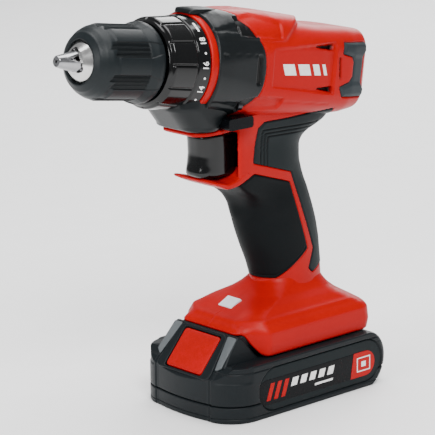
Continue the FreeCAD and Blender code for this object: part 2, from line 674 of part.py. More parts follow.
def motor_plate():
    """Plate that joins the motor to the gear case."""
    plate = tube(20.5, 24.6, CASE_BORE, 6.6)
    for hole in around(rod(20, 26, 1.6, 0, 12.0), 2, 90):
        plate = plate.cut(hole)
    return head(plate)


def motor_shaft():
    """Motor shaft with the pinion, first sun of the gearbox."""
    return head(fused([rod(-44.0, 25.4, 1.6), spur(TEETH, 25.2, 31.2)]))


def rotor_core():
    """Slotted armature, its windings and the commutator."""
    core = rod(-24.0, 4.0, 12.9).cut(rod(-30, 10, 1.6))
    for slot in around(block(-25, 5, -0.9, 0.9, 8.0, 14.0), 5):
        core = core.cut(slot)
    winding = [tube(-27.6, -24.0, 11.2, 1.6), tube(4.0, 7.6, 11.2, 1.6)]
    commutator = tube(-36.4, -29.0, 5.2, 1.6)
    for gap in around(block(-37, -28.5, -0.2, 0.2, 4.4, 6.0), 5, 36):
        commutator = commutator.cut(gap)
    return Part.Compound([head(core), head(winding[0]), head(winding[1]), head(commutator)])


def cooling_fan():
    """Radial fan on the motor shaft."""
    hub = tube(8.6, 16.4, 4.0, 1.6)
    disc = tube(8.6, 9.8, 14.6, 1.6)
    blades = around(block(9.0, 15.6, -0.5, 0.5, 3.6, 14.4), 9)
    return head(fused([hub, disc] + blades))


# ---- handle contents --------------------------------------------------------------------
def trigger():
    """Trigger: bowed front, flat cheeks, plunger into the switch."""
    side = prism(((29.0, 131.6), (49.0, 131.6), (53.0, 133.6), (51.6, 143.0), (51.8, 152.0), (48.5, 155.6),
                  (29.0, 155.6)), -10.8, 10.8)
    bow = Part.makeCylinder(13.5, 40, V(39.6, 0, 120), V(0, 0, 1))
    side = side.common(bow.fuse(block(0, 39.6, -10.8, 10.8, 100, 180)))
    plunger = Part.makeCylinder(2.6, 9.0, V(20.5, 0, 148.0), V(1, 0, 0))
    socket = Part.makeCylinder(4.2, 8.0, V(28.0, 0, 138.0), V(1, 0, 0))
    return fused([side, plunger]).cut(socket)


def trigger_spring():
    """Return spring between the switch and the trigger."""
    return coil(V(20.2, 0, 138.0), V(1, 0, 0), 15.4, 3.1, 0.4, 7)


def switch_module():
    """Speed-control switch with its plunger bore, heat sink and cradle."""
    body = block(-10.0, 20.0, -9.5, 9.5, 131.5, 157.5)
    body = body.cut(Part.makeCylinder(2.9, 14.0, V(8.0, 0, 148.0), V(1, 0, 0)))
    sink = block(-12.5, -10.0, -6.0, 6.0, 134.0, 154.0)
    return fused([body, sink])


def direction_bar():
    """Forward and reverse push bar across the body, above the trigger."""
    bar = block(30.5, 48.3, -25.4, 25.4, 160.2, 166.4)
    return bar.makeFillet(1.6, [e for e in bar.Edges if abs(e.tangentAt(0).y) > 0.9])


def terminal_block():
    """Holder in the foot with four contact blades facing forwards."""
    holder = block(-44.0, -38.4, -21.0, 21.0, 35.4, 46.0)
    blades = [block(-40.0, -12.0, y - 0.4, y + 0.4, 36.4, 42.4) for y in (-15.0, -5.0, 5.0, 15.0)]
    return Part.Compound([fused([holder] + blades)])


def leads(points, radius):
    """A pair of insulated leads, mirrored about the middle of the drill."""
    pair = [bent_tube([V(x, side * y, z) for x, y, z in points], radius) for side in (1, -1)]
    return Part.Compound(pair)


def motor_leads():
    """Leads from the switch up and back to the motor's tags."""
    tag = head_point(-46.0, 0, 10.0)
    return leads(((-6.0, 6.0, 158.3), (-9.0, 9.0, 163.4), (-24.0, 14.0, 167.0), (-38.0, 16.2, 170.0),
                  (-49.0, 13.0, 177.0), (-55.0, 9.0, 184.0), (-54.0, 6.4, 189.6),
                  (tag.x - 0.3, 6.4, tag.z)), 1.1)


def battery_leads():
    """Leads from the switch down the handle to the contact holder."""
    return leads(((-3.0, 6.0, 131.2), (-3.5, 7.0, 116.0), (-11.0, 8.5, 100.0), (-20.0, 8.0, 82.0),
                  (-28.0, 7.0, 64.0), (-36.0, 6.5, 54.5), (-40.6, 6.0, 46.8)), 1.2)


def gear_case_screws():
    """Four long screws that hold the gear case to the clamshell, heads to the front."""
    screws = []
    for y, h in CASE_SCREWS:
        shaft = rod(14.0, 33.0, 1.6, y, h)
        cap = rod(33.0, 36.0, 3.1, y, h)
        screws.append(head(fused([shaft, cap]).cut(rod(34.6, 37.0, 1.3, y, h))))
    return Part.Compound(screws)


# ---- battery ----------------------------------------------------------------------------
def battery_plan(inset, z0, z1):
    """Plan of the battery: bowed front, big front corners, small rear corners."""
    w, rear, front = BATTERY_HALF_W - inset, BATTERY_REAR + inset, BATTERY_FRONT - inset
    nose = front - 1.8                     # where the bowed front meets its corner arcs
    nose_y = 20.0 - inset * 0.4
    small = 6.0 - inset * 0.5              # radius of the rear corners
    sides = []
    for side in (1, -1):
        flank = V(front - 20.0, side * w, z0)
        corner = V(nose - 6.2, side * (w - 6.2), z0)
        sides.append((flank, corner, V(nose, side * nose_y, z0), V(rear + small, side * w, z0),
                      V(rear + small * 0.293, side * (w - small * 0.293), z0),
                      V(rear, side * (w - small), z0)))
    left, right = sides
    edges = [Part.Arc(left[0], left[1], left[2]), Part.Arc(left[2], V(front, 0, z0), right[2]),
             Part.Arc(right[2], right[1], right[0]), Part.LineSegment(right[0], right[3]),
             Part.Arc(right[3], right[4], right[5]), Part.LineSegment(right[5], left[5]),
             Part.Arc(left[5], left[4], left[3]), Part.LineSegment(left[3], left[0])]
    wire = Part.Wire([edge.toShape() for edge in edges])
    return Part.Face(wire).extrude(V(0, 0, z1 - z0))


def battery_side(inset):
    """Side view of the battery: full round rear end, flat base, square front."""
    bottom, top = inset, BATTERY_TOP - inset
    radius = (top - bottom) / 2
    rear = BATTERY_REAR + inset
    a, b = V(rear + radius, -50, bottom), V(rear + radius, -50, top)
    arc = Part.Arc(b, V(rear, -50, bottom + radius), a).toShape()
    points = [a, V(70 - inset, -50, bottom), V(70 - inset, -50, top), b]
    lines = [Part.LineSegment(points[i], points[i + 1]).toShape() for i in range(3)]
    return Part.Face(Part.Wire([arc] + lines)).extrude(V(0, 100, 0))


def battery_shell():
    """Hollow battery case with its tower, flanges and sloping nose."""
    outer = battery_plan(0.0, 0.0, BATTERY_TOP).common(battery_side(0.0))
    wedge = ((28.9, 31.0), (39.6, 43.4), (42.6, 44.9), (66.0, 44.9), (66.0, 20.0), (28.9, 20.0))
    nose = prism(wedge, -33, 33).common(battery_plan(0.6, 15.0, 60.0))
    tower = block(-37.0, 40.0, -24.2, 24.2, 28.0, 44.4)
    flange = block(-37.0, 27.0, -30.0, 30.0, 35.5, 39.0)
    slope_cut = button_block(45.0, -10.0, 50.0, 30.0, 0.0)
    body = fused([outer, nose, tower, flange]).cut(slope_cut)
    hollow = battery_plan(2.4, 2.4, 28.4).common(battery_side(2.4))
    body = body.cut(hollow.cut(block(42.0, 80.0, -40, 40, 14.0, 40)))
    for y in (-15.0, -5.0, 5.0, 15.0):
        body = body.cut(block(-38.0, -10.0, y - 0.9, y + 0.9, 35.8, 43.2))
    return body.cut(button_well())


def button_block(width, t0, t1, above, below):
    """Block on the nose's slope, from t0 to t1 down it, above and below its plane."""
    run = V(SLOPE_END[0] - SLOPE_TOP[0], 0, SLOPE_END[1] - SLOPE_TOP[1]).normalize()
    normal = V(-run.z, 0, run.x)
    top = V(SLOPE_TOP[0], 0, SLOPE_TOP[1])
    points = [top + run * t + normal * n for t, n in ((t0, above), (t1, above), (t1, -below), (t0, -below))]
    return prism([(p.x, p.z) for p in points], -width, width)


def button_well():
    """Recess of the release button in the battery's nose."""
    return button_block(15.0, 2.0, 27.2, 8.0, 9.2)


def battery_button():
    """Release button that sinks into its well."""
    return button_block(14.5, 2.5, 26.7, -0.3, 5.4)


def battery_case_bottom():
    """Tray of the battery."""
    return battery_shell().common(block(-80, 80, -50, 50, -1, SEAM_Z)).cut(battery_pads())


def battery_case_top():
    """Lid of the battery, with its tower and sloping nose."""
    return battery_shell().common(block(-80, 80, -50, 50, SEAM_Z, 60)).cut(battery_pads())


def battery_pads():
    """Stadium-shaped side pads, one on each flank."""
    r = 12.4
    z = 15.6
    pads = []
    for side in (1, -1):
        y0, y1 = sorted((BATTERY_HALF_W * side, (BATTERY_HALF_W - 1.2) * side))
        slab = block(-43.5, 40.0, y0, y1, z - r, z + r)
        end = Part.makeCylinder(r, y1 - y0, V(-43.5, y0, z), V(0, 1, 0))
        pads.append(slab.fuse(end).removeSplitter())
    return Part.Compound(pads)


def battery_cells():
    """Five round cells across the pack."""
    cells = []
    for k in range(5):
        x = -45.6 + 18.6 * k
        cells.append(Part.makeCylinder(9.1, 65.0, V(x, -32.5, 12.0), V(0, 1, 0)))
    return Part.Compound(cells)


def battery_board():
    """Charge board over the cells with four contact clips."""
    board = block(-50.0, 38.0, -30.0, 30.0, 22.0, 23.6)
    clips = []
    for y in (-15.0, -5.0, 5.0, 15.0):
        clips.append(block(-9.6, -4.0, y - 0.9, y + 0.9, 22.6, 26.5))
    return fused([board] + clips)


def housing_screws():
    """Screws that hold the clamshell together."""
    return Part.Compound([screw(x, z) for x, z in SCREWS])


def red_ring():
    """Index ring between the gear case and the collar."""
    return head(turned(((57.0, 21.7), (57.0, 27.2), (58.0, 27.35), (61.0, 27.35), (61.9, 26.9),
                        (61.9, 21.7))))


def front_bearing():
    """Spindle bearing in the snout."""
    return head(tube(76.0, 84.0, 12.0, SPINDLE_R + 0.05))


NODES = {
    "grip_left": lambda: grip(1),
    "grip_right": lambda: grip(-1),
    "back_strap": back_strap,
    "rear_bumpers": bumpers,
    "gear_case": gear_case,
    "index_ring": red_ring,
    "input_ring_gear": lambda: head(ring_gear(25.0, 31.4, CASE_BORE)),
    "clutch_ring_gear": lambda: head(ring_gear(49.4, 56.2, CASE_BORE)),
    "clutch_balls": clutch_balls,
    "front_bearing": front_bearing,
    "motor_plate": motor_plate,
    "motor_can": motor_can,
    "motor_end_bell": motor_end_bell,
    "motor_bearings": motor_bearings,
    "switch_module": switch_module,
    "terminal_block": terminal_block,
    "motor_leads": motor_leads,
    "battery_leads": battery_leads,
    "led_lens": lambda: led_window(0.0),
    "housing_screws": housing_screws,
    "gear_case_screws": gear_case_screws,
    "output_carrier": carrier_3,
    "spindle": spindle,
    "chuck_body": chuck_body,
    "chuck_sleeve": sleeve,
    "jaw_nut": jaw_nut,
    "torque_collar": torque_collar,
    "clutch_nut": clutch_nut,
    "clutch_spring": clutch_spring,
    "first_carrier": carrier_1,
    "second_carrier": carrier_2,
    "motor_shaft": motor_shaft,
    "rotor_core": rotor_core,
    "cooling_fan": cooling_fan,
    "speed_selector": speed_selector,
    "shift_fork": shift_fork,
    "shift_ring_gear": shift_ring,
    "direction_bar": direction_bar,
    "trigger": trigger,
    "trigger_spring": trigger_spring,
    "battery_case_top": battery_case_top,
    "battery_case_bottom": battery_case_bottom,
    "battery_pads": battery_pads,
    "battery_cells": battery_cells,
    "battery_board": battery_board,
    "battery_button": battery_button,
}
for number in range(3):
    NODES["jaw_%d" % (number + 1)] = lambda number=number: jaw(number)
    for stage in range(3):
        name = "planet_%d%s" % (stage + 1, "abc"[number])
        NODES[name] = lambda stage=stage, number=number: planet(stage, number)

os.makedirs("parts", exist_ok=True)
left_half, right_half = housing_halves()
NODES["housing_left"] = lambda: left_half
NODES["housing_right"] = lambda: right_half
for name, make in NODES.items():
    shape = make()
    solids = shape.Solids
    print("%-20s solids %d volume %9.1f valid %s" % (name, len(solids), shape.Volume, shape.isValid()))
    shape = solids[0] if len(solids) == 1 else Part.Compound(solids)
    shape.exportStep("parts/%s.step" % name)
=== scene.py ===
"""Looks of a cordless drill with a slide-on battery.

Sizes are in millimetres and become metres when a mesh is made. The chuck, collar, gear case and
barrel are worked out in the head frame: s runs along the spindle towards the chuck, y to the
user's left and h at right angles to both, and Head.place turns and lifts them.
"""

from __future__ import annotations

import logging
import math
from dataclasses import dataclass
from enum import Enum
from typing import Any, Callable, Sequence

import bmesh
import bpy
import numpy as np
from mathutils import Matrix, Vector

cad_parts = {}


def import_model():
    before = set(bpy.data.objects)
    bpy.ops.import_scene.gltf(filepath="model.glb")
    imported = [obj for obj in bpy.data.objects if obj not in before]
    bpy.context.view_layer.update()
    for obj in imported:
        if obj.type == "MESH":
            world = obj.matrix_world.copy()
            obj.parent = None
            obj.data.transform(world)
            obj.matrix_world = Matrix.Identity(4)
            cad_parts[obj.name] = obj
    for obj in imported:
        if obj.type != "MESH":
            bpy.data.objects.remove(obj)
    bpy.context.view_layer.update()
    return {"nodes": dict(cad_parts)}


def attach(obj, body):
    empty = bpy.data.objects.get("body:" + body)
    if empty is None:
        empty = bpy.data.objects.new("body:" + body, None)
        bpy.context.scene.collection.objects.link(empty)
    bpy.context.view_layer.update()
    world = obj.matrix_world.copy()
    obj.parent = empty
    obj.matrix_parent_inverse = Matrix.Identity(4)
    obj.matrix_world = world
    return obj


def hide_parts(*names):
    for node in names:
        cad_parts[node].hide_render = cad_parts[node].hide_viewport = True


LOG = logging.getLogger("drill")
MM = 0.001
Array = np.ndarray
Points = Sequence[tuple[float, float]]


# ---- curves and fields ------------------------------------------------------------------
def smooth(low: float, high: float, x: Array) -> Array:
    """Soft step from 0 at low to 1 at high: 3t^2 - 2t^3 of the clipped share t."""
    t = np.clip((x - low) / (high - low), 0.0, 1.0)
    return t * t * (3.0 - 2.0 * t)


def rounded(points: Points, radius: float, closed: bool = True, steps: int = 6) -> Array:
    """Polyline with its corners turned into arcs.

    Each corner is replaced by a quadratic arc whose ends stand radius * tan(turn / 2) from it,
    or 0.45 of the shorter side where that is less.

    Args:
        points: corners in order.
        radius: radius of the arcs.
        closed: whether the last corner joins the first.
        steps: points on each arc.

    Returns:
        The points of the rounded line, one per row.
    """
    corner = np.array(points, float)
    before, after = np.roll(corner, 1, 0) - corner, np.roll(corner, -1, 0) - corner
    len_b, len_a = np.linalg.norm(before, axis=1), np.linalg.norm(after, axis=1)
    unit_b, unit_a = before / len_b[:, None], after / len_a[:, None]
    turn = math.pi - np.arccos(np.clip((unit_b * unit_a).sum(1), -1.0, 1.0))
    cut = np.minimum(radius * np.tan(turn / 2), 0.45 * np.minimum(len_b, len_a))[:, None]
    t = np.linspace(0.0, 1.0, steps)[None, :, None]
    first, last = (corner + unit_b * cut)[:, None, :], (corner + unit_a * cut)[:, None, :]
    arcs = first * (1 - t) ** 2 + 2 * corner[:, None, :] * t * (1 - t) + last * t**2
    if closed:
        return arcs.reshape(-1, corner.shape[1])
    inner = arcs[1:-1].reshape(-1, corner.shape[1])
    return np.concatenate([corner[:1], inner, corner[-1:]])


def resampled(line: Array, step: float, closed: bool = False) -> Array:
    """Points evenly spaced along a polyline, about one step apart."""
    line = np.concatenate([line, line[:1]]) if closed else line
    run = np.concatenate([[0.0], np.cumsum(np.linalg.norm(np.diff(line, axis=0), axis=1))])
    count = max(int(round(run[-1] / step)), 3)
    at = np.linspace(0.0, run[-1], count + 1)
    made = np.stack([np.interp(at, run, line[:, k]) for k in range(line.shape[1])], 1)
    return made[:-1] if closed else made


def soft_table(table: Array, at: Array, blur: float) -> Array:
    """Columns of a table read at new stations, linear between rows and then blurred.

    Args:
        table: rows with the station first, in rising order.
        at: stations wanted.
        blur: width of the Gaussian that softens the kinks.

    Returns:
        One row per station, without the station column.
    """
    reach = np.linspace(-2.5, 2.5, 21)
    weight = np.exp(-reach * reach / 2)
    weight /= weight.sum()
    spread = np.clip(at[:, None] + reach[None, :] * blur, table[0, 0], table[-1, 0])
    columns = [(np.interp(spread, table[:, 0], table[:, k]) * weight).sum(1)
               for k in range(1, table.shape[1])]
    return np.stack(columns, 1)


def outline_distance(outline: Array, u: Array, v: Array) -> Array:
    """Signed distance from a closed outline in the (u, v) plane, negative inside.

    The distance is the least one to any edge, and its sign comes from counting the edges that a
    ray along u crosses.
    """
    far = np.full(u.shape, 1e9)
    inside = np.zeros(u.shape, bool)
    for (u0, v0), (u1, v1) in zip(outline, np.roll(outline, -1, 0)):
        du, dv = u1 - u0, v1 - v0
        t = np.clip(((u - u0) * du + (v - v0) * dv) / max(du * du + dv * dv, 1e-12), 0.0, 1.0)
        far = np.minimum(far, np.hypot(u - u0 - t * du, v - v0 - t * dv))
        crosses = (v0 > v) != (v1 > v)
        inside ^= crosses & (u < du * (v - v0) / (dv if dv else 1e-12) + u0)
    return np.where(inside, -far, far)


def groove(distance: Array, half: float, depth: float) -> Array:
    """Relief of a round-bottomed groove along the line where distance is zero."""
    return -depth * (1.0 - smooth(0.0, half, np.abs(distance)))


def inset_area(distance: Array, depth: float, edge: float) -> Array:
    """Relief of an area sunk by depth where distance is negative, with edges of a set width."""
    return -depth * (1.0 - smooth(-edge, edge, distance))


# ---- grids and meshes -------------------------------------------------------------------
def outward(points: Array, wrap: bool) -> Array:
    """Unit normals of a grid of points: the cross product of its two slopes.

    They are turned so that they point away from the grid's middle on the whole.
    """
    along_u = np.gradient(points, axis=0)
    if wrap:
        along_v = (np.roll(points, -1, 1) - np.roll(points, 1, 1)) / 2
    else:
        along_v = np.gradient(points, axis=1)
    normal = np.cross(along_u, along_v)
    normal /= np.maximum(np.linalg.norm(normal, axis=2, keepdims=True), 1e-12)
    away = points - points.reshape(-1, 3).mean(0)
    return normal if (normal * away).sum() > 0 else -normal


@dataclass
class Skin:
    """A grid of points that becomes one piece, or one shell of a piece.

    points is (rows, columns, 3) in millimetres in the row frame. keep marks the points whose
    faces stay, marks are painted masks from 0 to 1, and capped closes the first and last row.
    """

    points: Array
    wrap: bool = True
    keep: Array | None = None
    marks: dict[str, Array] | None = None
    capped: tuple[bool, bool] = (False, False)

    def faces(self) -> Array:
        """Quads of the grid, wound so that they face outwards."""
        rows, columns = self.points.shape[:2]
        index = np.arange(rows * columns).reshape(rows, columns)
        across = np.roll(index, -1, 1) if self.wrap else index[:, 1:]
        here = index if self.wrap else index[:, :-1]
        quads = np.stack([here[:-1], across[:-1], across[1:], here[1:]], -1)
        if self.keep is not None:
            kept = self.keep.ravel()[quads].all(-1)
            quads = quads[kept]
        quads = quads.reshape(-1, 4)
        flat = self.points.reshape(-1, 3)
        a, b, c = flat[quads[:, 0]], flat[quads[:, 1]], flat[quads[:, 3]]
        wanted = outward(self.points, self.wrap).reshape(-1, 3)[quads[:, 0]]
        facing = (np.cross(b - a, c - a) * wanted).sum()
        return quads if facing > 0 else quads[:, ::-1]

    def caps(self) -> list[Array]:
        """Loops of point numbers that close the first and the last row."""
        rows, columns = self.points.shape[:2]
        index = np.arange(rows * columns).reshape(rows, columns)
        return [index[row] for row, wanted in zip((0, -1), self.capped) if wanted]


def make_piece(name: str, skins: Sequence[Skin], finish: "Finish", body: str,
               stands_for: Sequence[str] = ()) -> bpy.types.Object:
    """Puts one or more skins into a mesh, dresses it and ties it to its CAD body.

    Args:
        name: name of the piece.
        skins: the shells that the piece is made of.
        finish: its finish.
        body: CAD body that it rides on.
        stands_for: CAD nodes that it replaces.

    Returns:
        The finished object.
    """
    points, faces, marks, start = [], [], {}, 0
    for skin in skins:
        flat = skin.points.reshape(-1, 3)
        quads = skin.faces() + start
        points.append(flat)
        faces.extend(quads.tolist())
        for loop in skin.caps():
            pole = len(flat) + start
            points.append(flat[loop].mean(0)[None])
            ring = loop + start
            middle = flat.mean(0)
            a, b = flat[loop[0]], flat[loop[len(loop) // 3]]
            facing = np.cross(a - points[-1][0], b - points[-1][0]) @ (points[-1][0] - middle)
            pairs = np.stack([np.full(len(ring), pole), ring, np.roll(ring, -1)], 1)
            faces.extend((pairs if facing > 0 else pairs[:, ::-1]).tolist())
            flat = np.concatenate([flat, points[-1]])
        for key, mask in (skin.marks or {}).items():
            marks.setdefault(key, []).append((start, mask.ravel()))
        start += len(flat)
    mesh = bpy.data.meshes.new(name)
    mesh.from_pydata(np.concatenate(points) * MM, [], faces)
    for key, parts in marks.items():
        values = np.zeros(start, np.float32)
        for first, mask in parts:
            values[first:first + len(mask)] = mask
        mesh.attributes.new(key, "FLOAT", "POINT").data.foreach_set("value", values)
    return settle(name, mesh, finish, body, stands_for, set(marks))


MERGE = 2e-7  # metres between points that count as one


def settle(name: str, mesh: bpy.types.Mesh, finish: "Finish", body: str,
           stands_for: Sequence[str] = (), marks: set[str] = frozenset()) -> bpy.types.Object:
    """Merges coincident points, drops loose ones, smooths and dresses the mesh, and ties it to its body."""
    work = bmesh.new()
    work.from_mesh(mesh)
    bmesh.ops.remove_doubles(work, verts=work.verts, dist=MERGE)
    bmesh.ops.delete(work, geom=[v for v in work.verts if not v.link_faces], context="VERTS")
    work.to_mesh(mesh)
    work.free()
    mesh.update()
    mesh.polygons.foreach_set("use_smooth", np.ones(len(mesh.polygons), bool))
    piece = bpy.data.objects.new(name, mesh)
    bpy.context.scene.collection.objects.link(piece)
    mesh.materials.append(finish.material(marks))
    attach(piece, body)
    if stands_for:
        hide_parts(*stands_for)
    LOG.info("%s: %d faces on %s", name, len(mesh.polygons), body)
    return piece


def ring(half_width: Array, top: Array, bottom: Array, corner: Array, flat: int, bend: int) -> Array:
    """Rounded rectangles, one per row, with the same number of points on each.

    A quarter is a straight run of flat points, a corner of bend points and another run. The four
    quarters are mirror images, so the points on the middle lines match.

    Returns:
        Array of (rows, points, 2) with y and h.
    """
    turn = np.linspace(0.0, math.pi / 2, bend)[None, :]
    run = np.linspace(0.0, 1.0, flat, endpoint=False)[None, :]

    def quarter(reach: Array) -> Array:
        w, r, t = half_width[:, None], corner[:, None], reach[:, None]
        r = np.minimum(r, np.minimum(w, t) * 0.995)
        upper = np.stack([run * (w - r), t + 0 * run], -1)
        arc = np.stack([w - r + r * np.sin(turn), t - r + r * np.cos(turn)], -1)
        side = np.stack([w + 0 * run, (t - r) * (1 - run)], -1)[:, 1:]
        return np.concatenate([upper, arc, side], 1)

    high, low = quarter(top), quarter(-bottom)
    flip = np.array([-1.0, 1.0])
    down = np.array([1.0, -1.0])
    middle = np.stack([half_width, 0 * half_width], -1)[:, None]
    left = np.concatenate([high, middle, (low * down)[:, ::-1]], 1)
    right = (left * flip)[:, ::-1][:, 1:-1]
    return np.concatenate([left, right], 1)


@dataclass(frozen=True)
class Head:
    """The tilted frame of the chuck, gear case and barrel."""

    tilt: float = 8.0
    axis_z: float = 186.83

    def place(self, s: Array, y: Array, h: Array) -> Array:
        """Row-frame points of head-frame points: a turn by the tilt and a lift."""
        c, n = math.cos(math.radians(self.tilt)), math.sin(math.radians(self.tilt))
        s, y, h = np.broadcast_arrays(s, y, h)
        return np.stack([s * c - h * n, y, self.axis_z + s * n + h * c], -1)

    def turned(self, line: Array, sides: int,
               relief: Callable[[Array, Array, Array], Array] | None = None) -> Array:
        """Surface of revolution about the spindle.

        Args:
            line: (s, radius) points along the profile.
            sides: points round each ring.
            relief: added height as a function of s, the angle from +h towards +y in degrees,
                and the distance run along the profile.

        Returns:
            Grid of points with radius * sin and radius * cos of the angle as y and h.
        """
        angle = np.arange(sides) * (360.0 / sides)
        s, radius = line[:, :1], line[:, 1:2]
        run = np.concatenate([[0.0], np.cumsum(np.linalg.norm(np.diff(line, axis=0), axis=1))])[:, None]
        slope = np.gradient(line, axis=0)
        slope /= np.maximum(np.linalg.norm(slope, axis=1, keepdims=True), 1e-9)
        lift = relief(s, angle[None, :], run) if relief else np.zeros((1, sides))
        s_out = s - slope[:, 1:2] * lift
        r_out = np.maximum(radius + slope[:, :1] * lift, 0.01)
        turn = np.radians(angle)[None, :]
        return self.place(s_out, r_out * np.sin(turn), r_out * np.cos(turn))


HEAD = Head()


# ---- materials --------------------------------------------------------------------------
class Value:
    """A socket that carries a number, for which +, -, * and ** add Math nodes."""

    def __init__(self, shader: "Shader", socket: bpy.types.NodeSocket) -> None:
        """Keeps the socket and the shader that it belongs to."""
        self.shader, self.socket = shader, socket

    def _join(self, operation: str, a: Any, b: Any) -> "Value":
        """A Math node on a and b."""
        return self.shader.value("ShaderNodeMath", {"operation": operation}, {0: a, 1: b})

    def __add__(self, other: Any) -> "Value":
        """self + other"""
        return self._join("ADD", self, other)

    def __radd__(self, other: Any) -> "Value":
        """other + self"""
        return self._join("ADD", other, self)

    def __sub__(self, other: Any) -> "Value":
        """self - other"""
        return self._join("SUBTRACT", self, other)

    def __rsub__(self, other: Any) -> "Value":
        """other - self"""
        return self._join("SUBTRACT", other, self)

    def __mul__(self, other: Any) -> "Value":
        """self * other"""
        return self._join("MULTIPLY", self, other)

    def __rmul__(self, other: Any) -> "Value":
        """other * self"""
        return self._join("MULTIPLY", other, self)

    def __pow__(self, other: Any) -> "Value":
        """self ** other"""
        return self._join("POWER", self, other)

    def step(self, low: float, high: float) -> "Value":
        """Soft step from 0 at low to 1 at high."""
        settings = {"interpolation_type": "SMOOTHSTEP"}
        return self.shader.value("ShaderNodeMapRange", settings, {0: self, 1: low, 2: high})


class Shader:
    """One material: a Principled shader and the nodes that feed it."""

    def __init__(self, name: str) -> None:
        """Makes an empty node material."""
        self.material = bpy.data.materials.new(name)
        self.material.use_nodes = True
        self.tree = self.material.node_tree
        self.tree.nodes.clear()
        self.surface = self.node("ShaderNodeBsdfPrincipled", {}, {})
        self.node("ShaderNodeOutputMaterial", {}, {"Surface": self.surface.outputs[0]})
        self.place = self.node("ShaderNodeTexCoord", {}, {}).outputs["Object"]

    def node(self, kind: str, settings: dict[str, Any], inputs: dict[Any, Any]) -> bpy.types.Node:
        """Adds a node, sets its settings and then its sockets.

        Args:
            kind: Blender's type name.
            settings: properties, with "stops" for the (position, colour) pairs of a ramp.
            inputs: values, sockets or Values by socket name or number.

        Returns:
            The node.
        """
        made = self.tree.nodes.new(kind)
        for key, value in settings.items():
            if key == "stops":
                for number, (position, colour) in enumerate(value):
                    stops = made.color_ramp.elements
                    stop = stops[number] if number < 2 else stops.new(position)
                    stop.position, stop.color = position, (*colour, 1.0)
            else:
                setattr(made, key, value)
        for key, value in inputs.items():
            value = value.socket if isinstance(value, Value) else value
            if isinstance(value, bpy.types.NodeSocket):
                self.tree.links.new(value, made.inputs[key])
            else:
                made.inputs[key].default_value = value
        return made

    def value(self, kind: str, settings: dict[str, Any], inputs: dict[Any, Any], output: Any = 0) -> Value:
        """Adds a node and wraps one of its number outputs."""
        return Value(self, self.node(kind, settings, inputs).outputs[output])

    def noise(self, scale: float, detail: float = 2.0,
              stretch: tuple[float, float, float] = (1, 1, 1)) -> Value:
        """Noise of a scale in cells per metre, stretched along the axes."""
        place = self.node("ShaderNodeMapping", {}, {"Vector": self.place, "Scale": stretch}).outputs[0]
        inputs = {"Vector": place, "Scale": scale, "Detail": detail}
        return self.value("ShaderNodeTexNoise", {}, inputs, "Fac")

    def cells(self, scale: float) -> Value:
        """Distance to the nearest of many scattered points, in cells per metre."""
        return self.value("ShaderNodeTexVoronoi", {}, {"Vector": self.place, "Scale": scale}, "Distance")

    def mark(self, name: str) -> Value:
        """A mask painted on the mesh."""
        return self.value("ShaderNodeAttribute", {"attribute_name": name}, {}, "Fac")

    def blend(self, share: Value, a: Any, b: Any) -> bpy.types.NodeSocket:
        """Colour that goes from a to b."""
        colours = {6: (*a, 1.0) if isinstance(a, tuple) else a, 7: (*b, 1.0) if isinstance(b, tuple) else b}
        return self.node("ShaderNodeMix", {"data_type": "RGBA"}, {0: share, **colours}).outputs[2]

    def finish(self, settings: dict[str, Any]) -> None:
        """Sets or links sockets of the Principled shader."""
        for key, value in settings.items():
            value = value.socket if isinstance(value, Value) else value
            if isinstance(value, bpy.types.NodeSocket):
                self.tree.links.new(value, self.surface.inputs[key])
            else:
                self.surface.inputs[key].default_value = value

    def bump(self, height: Value, depth: float) -> bpy.types.NodeSocket:
        """Normal of a height from 0 to 1 that stands for depth metres."""
        inputs = {"Strength": 1.0, "Distance": depth, "Height": height}
        return self.node("ShaderNodeBump", {}, inputs).outputs[0]


class Grain(Enum):
    """How the surface of a finish is worked."""

    SPARK = "spark-eroded mould texture"
    POLISHED = "polished mould"
    SOFT = "matt soft moulding"
    TURNED = "turned or ground metal"
    WOUND = "wound wire"
    CARD = "printed card or film"


